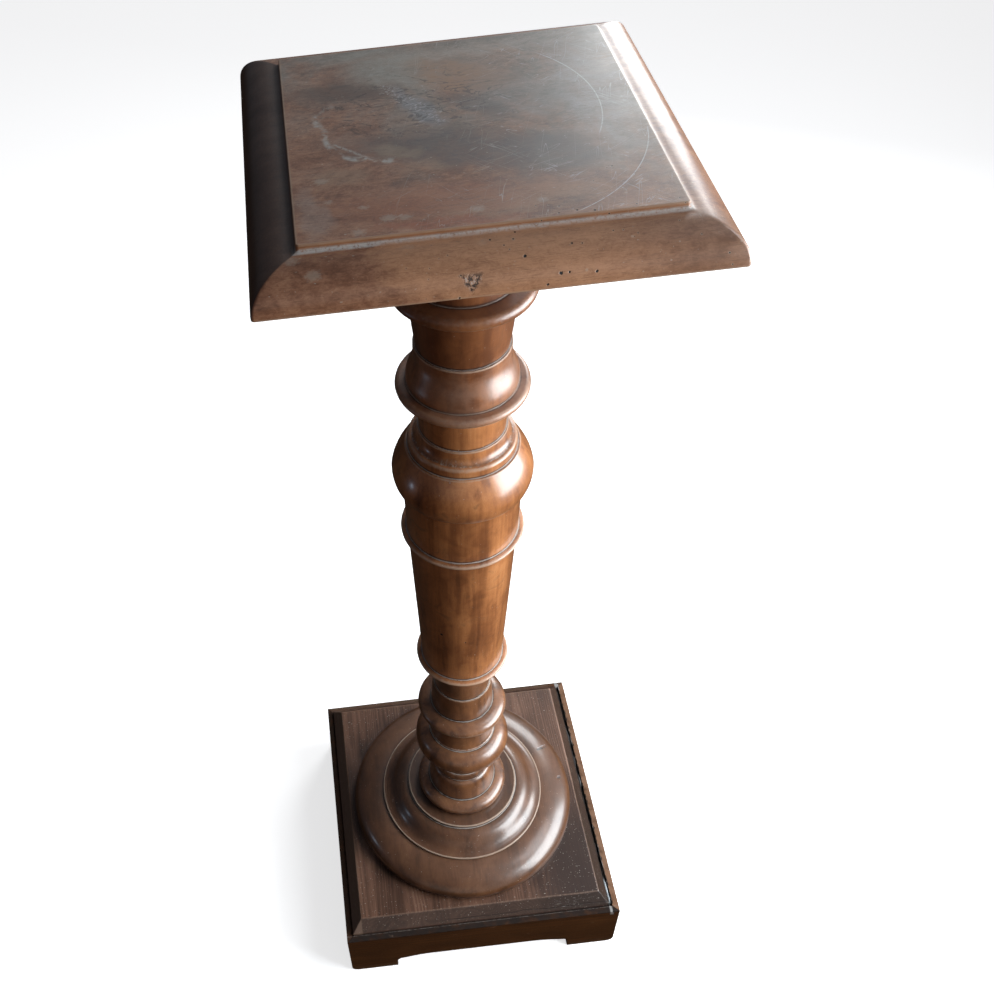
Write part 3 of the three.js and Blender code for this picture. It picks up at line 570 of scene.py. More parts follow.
# %% Value, Nodes and Recipe
class Value:
    """One output socket. Arithmetic on numbers adds Math nodes, on vectors Vector Math nodes."""

    def __init__(self, maker, socket):
        self.maker = maker
        self.socket = socket

    def is_vector(self):
        return self.socket.type != "VALUE"

    def join(self, operation, first, second):
        pair = (first, second)
        if any(isinstance(v, tuple) or (isinstance(v, Value) and v.is_vector()) for v in pair):
            first, second = [(v, v, v) if isinstance(v, (int, float)) else v for v in pair]
            kind = "ShaderNodeVectorMath"
        else:
            kind = "ShaderNodeMath"
        return self.maker.node(kind, {"operation": operation}, {0: first, 1: second})

    def __add__(self, other):
        return self.join("ADD", self, other)

    def __radd__(self, other):
        return self.join("ADD", other, self)

    def __sub__(self, other):
        return self.join("SUBTRACT", self, other)

    def __rsub__(self, other):
        return self.join("SUBTRACT", other, self)

    def __mul__(self, other):
        return self.join("MULTIPLY", self, other)

    def __rmul__(self, other):
        return self.join("MULTIPLY", other, self)

    def least(self, other):
        return self.join("MINIMUM", self, other)

    def most(self, other):
        return self.join("MAXIMUM", self, other)

    def wave(self, turns):
        """0..1, going up and down once for every 1/turns of the value."""
        turned_by = {0: self * (2 * math.pi * turns)}
        return self.maker.node("ShaderNodeMath", {"operation": "SINE"}, turned_by) * 0.5 + 0.5

    def size(self):
        return self.maker.node("ShaderNodeVectorMath", {"operation": "LENGTH"}, {0: self}, "Value")

    def away(self, other=0.0):
        return self.maker.node("ShaderNodeMath", {"operation": "ABSOLUTE"}, {0: self - other})

    def between(self, low, high):
        """A soft step: 0 below low, 1 above high. With low above high it falls instead."""
        falls = low > high
        ends = {"From Min": min(low, high), "From Max": max(low, high)}
        ends.update({"To Min": float(falls), "To Max": float(not falls), "Value": self})
        return self.maker.node("ShaderNodeMapRange", {"interpolation_type": "SMOOTHSTEP"}, ends)


class Nodes:
    """The node tree of one material or world, with one method that makes any node."""

    def __init__(self, owner):
        owner.use_nodes = True
        self.tree = owner.node_tree
        self.tree.nodes.clear()

    def node(self, kind, settings=None, inputs=None, out=0):
        made = self.tree.nodes.new(kind)
        for key, setting in (settings or {}).items():
            if key == "stops":
                ramp = made.color_ramp
                while len(ramp.elements) < len(setting):
                    ramp.elements.new(0.5)
                for element, (at, colour) in zip(ramp.elements, setting):
                    element.position = at
                    element.color = (*colour, 1.0)
            else:
                setattr(made, key, setting)
        for key, given in (inputs or {}).items():
            socket = made.inputs[key]
            if isinstance(given, Value):
                self.tree.links.new(given.socket, socket)
            elif isinstance(given, tuple) and socket.type == "RGBA":
                socket.default_value = (*given, 1.0)
            else:
                socket.default_value = given
        return Value(self, made.outputs[out])

    def out(self, kind, shader):
        ending = self.tree.nodes.new(kind)
        self.tree.links.new(shader.socket, ending.inputs["Surface"])

    def noise(self, where, detail=2.0, roughness=0.5, distortion=0.0, out=0):
        inputs = {"Vector": where, "Scale": 1.0, "Detail": detail}
        inputs.update({"Roughness": roughness, "Distortion": distortion})
        return self.node("ShaderNodeTexNoise", None, inputs, out)

    def blend(self, first, second, amount):
        settings = {"data_type": "RGBA", "clamp_factor": True}
        return self.node("ShaderNodeMix", settings, {0: amount, 6: first, 7: second}, 2)

    def ramp(self, amount, stops):
        return self.node("ShaderNodeValToRGB", {"stops": stops}, {"Fac": amount}, "Color")

    def split(self, vector):
        made = self.node("ShaderNodeSeparateXYZ", None, {0: vector}).socket.node
        return [Value(self, made.outputs[i]) for i in range(3)]


class Recipe(Nodes):
    """A material. Its colour, height (mm), gloss (roughness) and shine (coat) so far are kept in it, so
    that each mark is laid over what is there."""

    def __init__(self, name):
        self.material = bpy.data.materials.new(name)
        super().__init__(self.material)
        self.place = self.node("ShaderNodeTexCoord", out="Object") * 1000.0  # mm
        self.height = 0.0
        self.gloss = 0.5
        self.shine = 0.0

    def attribute(self, name):
        return self.node("ShaderNodeAttribute", {"attribute_name": name}, out="Fac")

    def paint(self, tint, amount):
        """Lays a tint over the colour so far."""
        self.colour = self.blend(self.colour, tint, amount)

    def stroke(self, start, end, radius):
        """Distance in mm from the segment start-end, less radius: negative inside a rounded stroke."""
        a = np.array(start, float)
        b = np.array(end, float)
        length = float(np.linalg.norm(b - a))
        u = tuple(float(v) for v in (b - a) / max(length, 1e-6))
        from_a = self.place - tuple(float(v) for v in a)
        dot = self.node("ShaderNodeVectorMath", {"operation": "DOT_PRODUCT"}, {0: from_a, 1: u}, "Value")
        along = dot.most(0.0).least(length)
        foot_of = self.node("ShaderNodeVectorMath", {"operation": "SCALE"}, {0: u, "Scale": along})
        return (from_a - foot_of).size() - radius

    def turned_to(self, place, middle, turn, scale):
        """The place seen from a middle, turned in plan and measured in units of scale."""
        inputs = {"Vector": place, "Location": middle, "Rotation": (0.0, 0.0, turn), "Scale": scale}
        return self.node("ShaderNodeMapping", {"vector_type": "TEXTURE"}, inputs)

    def finish(self, bump, coat_roughness=0.15, metallic=0.0, specular=0.5):
        """The height is in mm; the Bump node's distance turns it to metres."""
        lift = {"Height": self.height, "Strength": bump, "Distance": MM}
        inputs = {
            "Base Color": self.colour,
            "Roughness": self.gloss,
            "Metallic": metallic,
            "Specular IOR Level": specular,
            "Coat Weight": self.shine,
            "Coat Roughness": coat_roughness,
            "Normal": self.node("ShaderNodeBump", None, lift, "Normal"),
        }
        shader = self.node("ShaderNodeBsdfPrincipled", None, inputs, "BSDF")
        self.out("ShaderNodeOutputMaterial", shader)
        print("material", self.material.name, "nodes", len(self.tree.nodes))
        return self.material


def dress(piece, material):
    piece.data.materials.clear()
    piece.data.materials.append(material)
    piece.data.polygons.foreach_set("material_index", np.zeros(len(piece.data.polygons), np.int32))


# %% [markdown]
# ## What makes walnut look like walnut
# A log is a stack of cones round a pith line that never runs quite straight. Cut it anywhere and the
# surface shows the distance from that line: close lines on the quarter, cathedral arches on the flat.
# So the figure here is a solid pattern, sampled wherever the surface happens to be, and a round, a
# hollow and a mitre each cut it in their own way, as the real tools did. Streaks, pores and a slow
# clouding are noises drawn out along the grain.

# %% Wood figure
GRAIN_TURN = {"x": (0.0, 0.0, 0.0), "y": (0.0, 0.0, -math.pi / 2), "z": (0.0, math.pi / 2, 0.0)}


def figure(recipe, along, pith, ring=5.0, sway=9.0, seed=0.0):
    """Patterns in wood whose grain runs `along` an axis, with mm as the unit:
    rings = wave of (distance from the pith line + a slow noise) / ring; streaks, pores and clouds are
    noises stretched along the grain. Each comes back as a value from 0 to 1."""
    inputs = {"Vector": recipe.place, "Location": (seed * 37.0, *pith), "Rotation": GRAIN_TURN[along]}
    wood = recipe.node("ShaderNodeMapping", {"vector_type": "POINT"}, inputs)
    drift = (recipe.noise(wood * (0.004, 0.016, 0.016), 2.0, 0.5, 0.0, "Color") - 0.5) * (0.0, sway, sway)
    ripple = recipe.noise(wood * (0.012, 0.07, 0.07), 2.0) * 2.4
    distance = ((wood + drift) * (0.0, 1.0, 1.0)).size() + ripple
    spacing = recipe.noise(wood * (0.001, 0.02, 0.02), 1.0) * 0.5 + 0.75
    rings = (distance * spacing).wave(1 / ring)
    streaks = recipe.noise(wood * (0.012, 0.9, 0.9), 4.0, 0.62)
    pores = recipe.noise(wood * (0.10, 3.2, 3.2), 2.0, 0.6).between(0.56, 0.70)
    clouds = recipe.noise(wood * (0.010, 0.028, 0.028), 3.0, 0.55, 0.4)
    return rings, streaks, pores, clouds


# %% [markdown]
# ## Polished walnut for the turnings
# The column and the discs carry an old shellac polish: a clear, fairly sharp coat over brown wood. The
# hollows are painted dark, partly as dark wax and partly as painted shade, faces that look up get a pale
# painted sheen, the arrises are rubbed pale, pale dust lies in broken lines at the foot of the fillets, and
# the polish is duller where the hollows are painted dark. The Principled shader's coat is that shellac;
# the wood below it is rougher.

# %% Polished walnut
BAND_STRETCH = {"x": (0.004, 0.06, 0.06), "y": (0.06, 0.004, 0.06), "z": (0.06, 0.06, 0.004)}  # dark bands


def polished_walnut(name, along, pith, stops, seed, grime_and_shade_strength, coat=0.85, rough=0.34, haze=0.20, marks=None):
    r = Recipe(name)
    rings, streaks, pores, clouds = figure(r, along, pith, seed=seed)
    wear = r.attribute("wear")
    lies = r.attribute("lies")
    blotch = r.noise(r.place * 0.055 + (seed, 3.0, 1.0), 4.0, 0.6, 0.8)
    smudge = r.noise(r.place * 0.33 + (seed, 0.0, 7.0), 3.0, 0.65)
    band = r.noise(r.place * BAND_STRETCH[along] + (seed * 3.0, 0.0, 0.0), 3.0, 0.6).between(0.50, 0.68)
    tone = rings * 0.05 + streaks * 0.26 + clouds * 1.10 + blotch * 0.60 - band * 0.22 - 0.44
    r.colour = r.ramp(tone, stops)
    r.paint((0.030, 0.012, 0.007), pores * 0.25)
    r.paint((0.085, 0.032, 0.013), blotch.between(0.54, 0.72) * 0.5)
    # Painted sheen: faces that look up are painted paler, like the sky reflected in the coat.
    upward_sheen = (lies * 1.1 + smudge * 0.7 - 0.75).between(0.0, 0.8)
    r.paint((0.190, 0.110, 0.075), upward_sheen * 0.14)
    # Painted shade: hollows and inside corners are painted dark, partly as wax grime.
    grime_and_shade = (wear * -1.5 + r.attribute("bedded") * 0.8 + smudge * 0.5 - 0.42).between(0.0, 0.9) * grime_and_shade_strength
    r.paint((0.018, 0.009, 0.006), grime_and_shade)
    rubbed = (wear * 1.3 + smudge * 0.9 - 0.72).between(0.0, 0.8)
    r.paint((0.44, 0.33, 0.25), rubbed * 0.6)
    line = (r.attribute("dust") * 1.1 + smudge * 1.5 + blotch * 1.2 - 1.68).between(0.0, 0.50)
    r.paint((0.44, 0.39, 0.35), line * 0.60)
    speck = r.noise(r.place * 0.55 + (0.0, seed, 0.0), 1.0, 0.4).between(0.775, 0.80)
    r.paint((0.55, 0.47, 0.40), speck * 0.6)
    tool = r.noise(r.place * (0.02, 0.02, 1.1), 2.0, 0.6)
    dents = r.noise(r.place * 0.16, 3.0, 0.5)
    r.height = tool * 0.05 + dents * 0.34 - pores * 0.03 - speck * 0.05 + streaks * 0.04
    r.gloss = rough + (smudge - 0.5) * 0.25 + grime_and_shade * 0.15 + rubbed * 0.08 + upward_sheen * 0.05
    r.shine = coat - grime_and_shade * 0.35 - rubbed * 0.25 + (blotch - 0.5) * 0.5 - line * 0.5
    if marks:
        marks(r)
    return r.finish(bump=0.40, coat_roughness=haze)


SHAFT_TONES = [
    (0.0, (0.070, 0.021, 0.008)),
    (0.35, (0.215, 0.076, 0.026)),
    (0.62, (0.390, 0.155, 0.055)),
    (1.0, (0.560, 0.265, 0.110)),
]
CAPITAL_TONES = [
    (0.0, (0.040, 0.013, 0.006)),
    (0.35, (0.140, 0.046, 0.016)),
    (0.62, (0.270, 0.098, 0.034)),
    (1.0, (0.450, 0.195, 0.080)),
]
FOOT_TONES = [
    (0.0, (0.026, 0.010, 0.006)),
    (0.35, (0.095, 0.038, 0.017)),
    (0.62, (0.200, 0.084, 0.036)),
    (1.0, (0.340, 0.165, 0.078)),
]
BASE_TONES = [
    (0.0, (0.022, 0.008, 0.004)),
    (0.35, (0.056, 0.022, 0.009)),
    (0.62, (0.100, 0.041, 0.018)),
    (1.0, (0.170, 0.080, 0.038)),
]

# %% [markdown]
# ## Marks on the turnings
# Beetles, knocks and hot summers leave marks in particular places. Most are strokes: the distance from a
# short line on the surface, roughened by a noise, and a soft step that turns it into a mask. Some marks are
# painted light and shade: the glint on the lips of the torus dents, the shade in those dents, and the
# paler bell and darker throat of the capital.


# %% Marks on the turnings
def worm_hole(r, at, radius):
    """A small dark hole with a faint pale rim."""
    gap = r.stroke(at, at, radius) + (r.noise(r.place * 0.9, 1.0) - 0.5) * 1.1
    hole = gap.between(0.30, -0.20)
    rim = gap.away(0.35).between(0.5, 0.1)
    r.paint((0.42, 0.27, 0.16), rim * 0.16)
    r.paint((0.004, 0.002, 0.001), hole)
    r.height = r.height - hole * 1.2
    r.gloss = r.gloss + hole * 0.3


def shaft_marks(r):
    """Two worm holes low on the taper and a few fine shakes on the bulb."""
    worm_hole(r, (-27.1, -36.5, 515.8), 1.5)
    worm_hole(r, (-5.1, -44.0, 508.3), 0.8)
    strokes = (
        ((-2.0, -55.5, 727.5), (5.0, -55.0, 726.0), 0.35),
        ((3.5, -55.5, 723.5), (9.0, -54.5, 724.0), 0.30),
    )
    for start, end, radius in strokes:
        shake = r.stroke(start, end, radius).between(0.3, -0.2)
        r.paint((0.012, 0.006, 0.004), shake * 0.8)
        r.height = r.height - shake * 0.4


def capital_marks(r):
    """The bell and collar are painted paler in clouds, as painted light and sheen, with more coat; the
    throat, flange and neck are painted redder and darker, as painted shade.
    """
    z = r.split(r.place)[2]
    cloud = r.noise(r.place * (0.06, 0.06, 0.10), 3.0, 0.6)
    # Painted light and sheen: the bell and collar are painted paler in clouds.
    bell_painted_light = z.between(852.0, 840.0) * cloud.between(0.25, 0.60)
    r.paint((0.300, 0.170, 0.112), bell_painted_light * 0.42)
    # Painted shade: the throat, flange and neck are painted darker and redder.
    r.paint((0.085, 0.027, 0.010), z.between(846.0, 856.0) * 0.42)
    r.shine = r.shine + bell_painted_light * 0.15


def torus_marks(r):
    """A deep dent where something iron fell on the disc, and a smaller one, both painted dark, partly as dirt
    and partly as painted shade, each with a painted glint along its upper lip.
    """
    ragged = r.noise(r.place * 0.45, 3.0, 0.7) * 2.0 - 1.0
    dents = (
        ((101, 37, 136.0), (106, 39.5, 134.8), 1.3),
        ((106, 38.5, 134.6), (113, 42, 131.8), 0.3),
        ((118, -3.2, 132.6), (121.5, -2.0, 131.2), 0.6),
    )
    glint_lines = (
        ((102, 39.8, 135.8), (112.5, 45.2, 131.8), 0.3),
        ((119, -0.5, 132.4), (122.5, 1.0, 130.9), 0.2),
    )
    # Painted dark, partly as dirt and partly as painted shade inside the dent.
    for start, end, radius in dents:
        dent = (r.stroke(start, end, radius) + ragged).between(1.0, -0.6)
        r.paint((0.010, 0.007, 0.006), dent * 0.85)
        r.height = r.height - dent * 0.9
    # Painted glint: a pale grey line along the upper lip of each dent.
    for start, end, radius in glint_lines:
        glint = (r.stroke(start, end, radius) + ragged).between(0.9, -0.5)
        r.paint((0.44, 0.42, 0.42), glint * 0.6)
        r.height = r.height + glint * 0.5


capital_polish = {"coat": 0.62, "haze": 0.34, "marks": capital_marks}
TURNINGS = (
    (column_shaft, "shaft", "z", (30.0, 55.0), SHAFT_TONES, 1.0, 0.72, {"marks": shaft_marks}),
    (column_capital, "capital", "z", (52.0, -22.0), CAPITAL_TONES, 2.0, 0.90, capital_polish),
    (column_foot, "foot", "z", (-41.0, 35.0), FOOT_TONES, 3.0, 0.95, {"coat": 0.95}),
    (base_torus, "torus", "y", (0.0, 190.0), BASE_TONES, 4.0, 0.55, {"marks": torus_marks}),
    (base_step, "step", "y", (30.0, 150.0), BASE_TONES, 5.0, 0.80, {}),
    (capital_plate, "plate", "x", (0.0, 120.0), BASE_TONES, 6.0, 0.90, {"coat": 0.3, "rough": 0.5}),
)
for piece, name, along, pith, tones, seed, grime_and_shade_strength, more in TURNINGS:
    dress(piece, polished_walnut("walnut_" + name, along, pith, tones, seed, grime_and_shade_strength, **more))

# %% [markdown]
# ## The faded top
# The top has stood in daylight and under flower pots. Its field is bleached grey-brown, greyest towards
# the back and right, where the grey is also painted glare, with a dark swirl of crotch figure, a whitish
# ring where a wet pot stood, long curved scratches from pots that were turned, and fine scratches all
# over. Every stain is a mask and a tint, laid on in the order in which the years laid them: bleaching and
# painted glare first, then stains, rings, blots and scratches.

# %% Stains on the field
FIELD_EDGE = 114.9  # mm from the middle to the edge of the raised field
FIELD_HEIGHT = 28.0  # mm above the underside
# Stained and bleached places: middle (x, y), half length, half width, turn, colour, strength.
PATCHES = (
    ((-38.0, 86.0), 46.0, 27.0, -0.55, (0.270, 0.272, 0.240), 0.75),
    ((4.0, 64.0), 40.0, 20.0, -0.65, (0.290, 0.165, 0.095), 0.75),
    ((-14.0, -26.0), 72.0, 25.0, -0.22, (0.060, 0.057, 0.058), 0.72),
    ((-76.0, 58.0), 34.0, 16.0, -0.10, (0.060, 0.046, 0.040), 0.65),
    ((48.0, -50.0), 40.0, 30.0, 0.30, (0.090, 0.088, 0.090), 0.55),
    ((10.0, 22.0), 30.0, 9.0, -0.75, (0.062, 0.058, 0.058), 0.60),
    ((18.0, -92.0), 60.0, 14.0, 0.10, (0.330, 0.200, 0.130), 0.45),
    ((10.0, 98.0), 40.0, 12.0, 0.0, (0.330, 0.290, 0.245), 0.45),
    ((-46.0, -26.0), 15.0, 9.0, -0.30, (0.310, 0.230, 0.155), 0.45),
    ((-33.0, -46.0), 16.0, 9.0, 0.20, (0.290, 0.200, 0.135), 0.40),
    ((-86.0, -48.0), 16.0, 12.0, 0.20, (0.250, 0.180, 0.120), 0.40),
    ((-105.0, -86.0), 9.0, 30.0, 0.05, (0.260, 0.262, 0.250), 0.30),
    ((-30.0, -84.0), 66.0, 20.0, 0.05, (0.290, 0.115, 0.058), 0.60),
    ((-28.0, -109.0), 44.0, 5.0, 0.0, (0.270, 0.075, 0.030), 0.60),
    ((38.0, 30.0), 34.0, 26.0, -0.50, (0.200, 0.195, 0.185), 0.45),
    ((85.0, 30.0), 22.0, 60.0, 0.0, (0.270, 0.275, 0.275), 0.40),
    ((-28.0, 28.0), 32.0, 9.0, -1.05, (0.170, 0.178, 0.195), 0.75),
)
# Pale blots: x, y, height above the underside, radius.
PALE_BLOTS = (
    (-60.4, -97.3, 28.0, 3.6), (-51.1, -98.1, 28.0, 3.2), (-79.2, -109.0, 28.0, 3.6),
    (-94.7, -74.6, 28.0, 2.4), (-97.4, -50.8, 28.0, 3.4), (-8.6, -98.0, 28.0, 3.4),
    (-108.3, -133.9, 19.5, 3.8), (-53.0, -121.0, 23.0, 3.6), (-10.0, -124.0, 22.6, 3.0),
    (-120.0, -122.0, 21.0, 4.0), (-74.0, -84.0, 28.0, 2.2), (30.0, -96.0, 28.0, 2.6),
)
BROWN_STOPS = [
    (0.0, (0.080, 0.030, 0.016)),
    (0.35, (0.190, 0.080, 0.041)),
    (0.65, (0.310, 0.148, 0.080)),
    (1.0, (0.43, 0.235, 0.14)),
]
GREY_STOPS = [
    (0.0, (0.075, 0.064, 0.056)),
    (0.35, (0.155, 0.136, 0.115)),
    (0.65, (0.235, 0.210, 0.180)),
    (1.0, (0.35, 0.32, 0.28)),
]


def bleached_wood(r, x, y, tone, field):
    """The wood's own brown, and grey where it is bleached; the grey grows towards the back and right of the
    field, where it is also painted glare.
    """
    patch = r.noise(r.place * 0.016 + (5.0, 2.0, 0.0), 4.0, 0.65, 0.7)
    # Bleaching and painted glare: greyer towards the back and right.
    bleached_and_glare = (patch * 1.5 + y * 0.0024 + x * 0.0012 - 0.42).between(0.0, 0.75) * field
    r.colour = r.blend(r.ramp(tone, BROWN_STOPS), r.ramp(tone, GREY_STOPS), bleached_and_glare * 0.9 + 0.06)


def stained_patches(r, field, fleck, net):
    """Each is a ragged ellipse: the place, shaken by a slow noise and measured in the ellipse's own
    axes, is less than one away from its middle."""
    warp = (r.noise(r.place * 0.035, 4.0, 0.62, 0.0, "Color") - 0.5) * 34.0
    for at, half_long, half_wide, turn, tint, strength in PATCHES:
        spot = (*at, TOP_Z + FIELD_HEIGHT)
        own = r.turned_to(r.place + warp, spot, turn, (half_long, half_wide, 1000.0)).size()
        inside = own.between(1.35, 0.40) * field * (fleck * 1.3 + net * 0.9 - 0.15)
        r.paint(tint, inside * strength)


def pot_stains(r, field, grit, fleck, net):
    """A whitish, broken arc where a wet pot stood, a chalky rubbed patch beside it, and dark threads of
    crotch figure round both. Gives back the masks of the arc and the chalk."""
    ring_place = (r.place - (-46.0, 12.0, 0.0)) * (1.0, 1.0, 0.0)
    shake = (r.noise(r.place * 0.03, 3.0, 0.5, 0.0, "Color") - 0.5) * (18.0, 18.0, 0.0)
    ring_x, ring_y = r.split(ring_place)[:2]
    broken = r.noise(r.place * 0.09 + (0.0, 2.0, 0.0), 3.0, 0.6).between(0.42, 0.60)
    pot = (ring_place + shake).size().away(48.5).between(3.6, 0.4) * broken
    pot = pot * ring_x.between(4.0, -8.0) * ring_y.between(36.0, 24.0) * field
    bright_arc = r.stroke((-86, -10, 1028), (-62, -34, 1028), 0.4) + net * 5.0 - 2.4
    pot = pot.most(bright_arc.between(1.9, -0.8) * grit.between(0.38, 0.55) * 0.9)
    r.paint((0.40, 0.42, 0.40), pot * 0.62)
    chalk_gap = r.stroke((-46, 56, 1028), (-16, 6, 1028), 3.0) + fleck * 26.0 - 13.0
    chalk = chalk_gap.between(5.0, -3.0) * grit.between(0.48, 0.62)
    r.paint((0.46, 0.47, 0.47), chalk * 0.6)
    thread = r.noise(r.place * (0.02, 0.05, 0.05) + (0.0, 4.0, 1.0), 4.0, 0.6, 1.5)
    from_swirl = (r.place - (-30.0, 30.0, TOP_Z + FIELD_HEIGHT)) * (0.012, 0.019, 0.019)
    dark_thread = thread.away(0.5).between(0.022, 0.004) * from_swirl.size().between(1.2, 0.5)
    r.paint((0.022, 0.020, 0.020), dark_thread * field * 0.6)
    return pot, chalk


def blots_and_chips(r, grit, fleck):
    """Dried drops of something pale, and small light chips all over."""
    for bx, by, bz, size in PALE_BLOTS:
        squashed = (r.place - (bx, by, TOP_Z + bz)) * (0.75, 1.0, 1.0)
        blot = (squashed.size() + grit * 7.0 + fleck * 4.0 - 5.5).between(size + 1.0, size - 2.2)
        r.paint((0.40, 0.36, 0.30), blot * 0.36)
    chip = r.noise(r.place * (0.34, 0.5, 0.5) + (2.0, 0.0, 0.0), 2.0, 0.5).between(0.70, 0.76)
    r.paint((0.46, 0.43, 0.38), chip * 0.5)


print("patches", len(PATCHES), "blots", len(PALE_BLOTS))

# %% [markdown]
# ## Scratches
# A pot that is turned scratches part of a circle, and a pot that is pushed scratches a nearly straight
# line. The long ones are placed one by one, each a thin band beside a circle through three points. The
# fine ones are the zero lines of noises stretched in four directions.

# %% Scratches on the top
# Three points (x, y) of each long scratch and its half width, in mm.
POT_SCRATCHES = (
    ((66.3, 77.9), (87.6, 31.3), (82.1, -25.0), 0.55),
    ((109.7, -33.5), (86.6, -82.3), (52.4, -109.7), 0.5),
)
FINE_DIRECTIONS = ((0.6, 2.0), (-0.8, 5.0), (1.3, 9.0), (0.25, 14.0))  # turn, seed


def circle_through(p, q, s):
    """Centre and radius of the circle through three points, from its two equal-distance equations."""
    p, q, s = (np.array(v, float) for v in (p, q, s))
    centre = np.linalg.solve(2 * np.array([q - p, s - p]), np.array([q @ q - p @ p, s @ s - p @ p]))
    return centre, float(np.linalg.norm(p - centre))


def scratches(r, x, field, grit):
    """Both kinds in one mask, which is painted pale and given back."""
    scratch = None
    in_plan = (1.0, 1.0, 0.0)
    for start, middle, end, width in POT_SCRATCHES:
        centre, radius = circle_through(start, middle, end)
        flat = (r.place - (float(centre[0]), float(centre[1]), 0.0)) * in_plan
        reach = 0.5 * float(np.hypot(end[0] - start[0], end[1] - start[1])) + 6.0
        middle_at = ((start[0] + end[0]) / 2, (start[1] + end[1]) / 2, 0.0)
        near = ((r.place - middle_at) * in_plan).size().between(reach + 3.0, reach - 9.0)
        line = flat.size().away(radius).between(width, width * 0.25) * near * grit.between(0.3, 0.52)
        scratch = line if scratch is None else scratch.most(line)
    more_right = (x * 0.004 + 0.62).between(0.1, 0.9)
    for turn, seed in FINE_DIRECTIONS:
        lean = r.turned_to(r.place, (seed * 50.0, 0.0, 0.0), turn, (110.0, 9.0, 40.0))
        hair = r.noise(lean, 2.0, 0.5, 0.3).away(0.5).between(0.0040, 0.001)
        where = r.noise(r.place * 0.03 + (seed, 0.0, 0.0), 2.0).between(0.46, 0.62)
        scratch = scratch.most(hair * where * more_right * 0.65)
    scratch = scratch * field
    r.paint((0.55, 0.56, 0.54), scratch * 0.7)
    return scratch


print("long scratches", len(POT_SCRATCHES), "fine directions", len(FINE_DIRECTIONS))

# %% [markdown]
# ## The top's edges
# The moulded front edge has kept its warm brown but is riddled with worm holes on the right, and has a
# bruise in the shape of a V. The left one is painted nearly black, as painted shade. The underside was
# never polished.

# %% Edges, worm holes and the bruise
# Single worm holes: x, y, height above the underside, radius.
BIG_HOLES = (
    (12.8, -135.8, 18.4, 0.9), (32.4, -143.5, 9.5, 1.0), (37.4, -143.5, 9.6, 0.5), (53.1, -144.0, 8.4, 0.8),
    (24.9, -145.0, 3.6, 0.7), (-5.2, -123.1, 22.8, 0.6), (10.1, -118.5, 23.1, 0.5), (40.5, -131.7, 20.6, 0.6),
    (57.5, -112.8, 28.0, 0.8), (47.5, -110.8, 28.0, 0.6), (36.8, -111.8, 28.0, 0.5), (78.1, -69.3, 28.0, 0.6),
)
SMALL_HOLES = ((0.095, 0.072, 0.0), (0.17, 0.085, 4.0))  # holes per mm, radius in holes, seed


def rubbed_riser_and_cove_highlight(r, y, z, side, grit):
    """The field's upright edge is rubbed orange, and a thin pale line is painted in the cove at its foot, as
    a painted highlight.
    """
    riser = side.between(FIELD_EDGE - 1.0, FIELD_EDGE - 0.2) * z.between(25.2, 25.9)
    r.paint((0.33, 0.150, 0.066), riser * (y + 110.0).between(2.0, -2.0) * 0.7)
    # Painted highlight: a thin pale line in the cove at the foot of the riser, at the front.
    off = side - FIELD_EDGE
    cove_highlight = off.between(-0.1, 0.3) * off.between(3.4, 1.6) * z.between(26.0, 25.4)
    cove_highlight = cove_highlight * (grit * 1.4 - 0.2).between(0.1, 0.6) * y.between(-108.0, -113.0)
    r.paint((0.52, 0.53, 0.52), cove_highlight * 0.8)


def moulding_tones(r, x, y, z, mottle, fleck, net):
    """The front moulding is browner, and lighter right of a slanting line; the left one is painted black, as
    painted shade.
    """
    moulding = y.between(-114.5, -117.0)
    lighter = (x + z * 1.8 + 34.0 + (mottle - 0.5) * 60.0).between(-9.0, 12.0) * moulding
    worn_middle = x.between(125.0, 45.0) * 0.8 + 0.2
    r.paint((0.45, 0.235, 0.125), lighter * worn_middle * (fleck * 0.9 + net * 0.9 - 0.22))
    r.paint((0.150, 0.080, 0.046), x.between(55.0, 130.0) * moulding * 0.40)
    # Painted shade: the left moulding, up to its mitres, is painted near-black.
    left_moulding_shade = x.between(-114.5, -116.0) * (x.away() - y.away()).between(-1.0, 0.6)
    r.paint((0.020, 0.013, 0.012), left_moulding_shade * 0.80)


def small_worm_holes(r, x, y):
    """Most at the front right, with a few light crumbs round them. Gives back the holes' mask."""
    wormy = (x * 0.006 - y * 0.011 - 0.95).between(-0.1, 0.7)
    holes = None
    for pitch, radius, seed in SMALL_HOLES:
        inputs = {"Vector": r.place * pitch + (seed, seed, seed), "Scale": 1.0, "Randomness": 1.0}
        cell = r.node("ShaderNodeTexVoronoi", {"feature": "F1"}, inputs, "Distance")
        some = r.noise(r.place * 0.05 + (3.0 + seed, 3.0, 3.0), 1.0).between(0.46, 0.54) * wormy
        dot = cell.between(radius + 0.018, radius - 0.010) * some
        crumb = cell.between(radius + 0.07, radius + 0.04) * some
        r.paint((0.44, 0.36, 0.27), crumb * 0.35)
        holes = dot if holes is None else holes.most(dot)
    r.paint((0.006, 0.003, 0.002), holes)
    return holes


def bruise_in_a_v(r, x, y, z, grit):
    """Black gouges and pale chips inside a ragged V on the front moulding."""
    crushed = r.noise(r.place * (0.38, 0.38, 0.24), 4.0, 0.75)
    wedge = (x + 17.0).away() - (z - 3.0) * 0.62 + (grit - 0.5) * 7.0
    bruise = wedge.between(1.5, -2.0) * y.between(-139.0, -141.0)
    bruise = bruise * z.between(1.0, 4.0) * z.between(15.5, 12.0)
    gouge = bruise * crushed.between(0.46, 0.51)
    r.paint((0.014, 0.010, 0.009), gouge * 0.92)
    r.paint((0.48, 0.44, 0.41), bruise * crushed.between(0.44, 0.39) * 0.7)
    r.height = r.height - gouge * 0.7


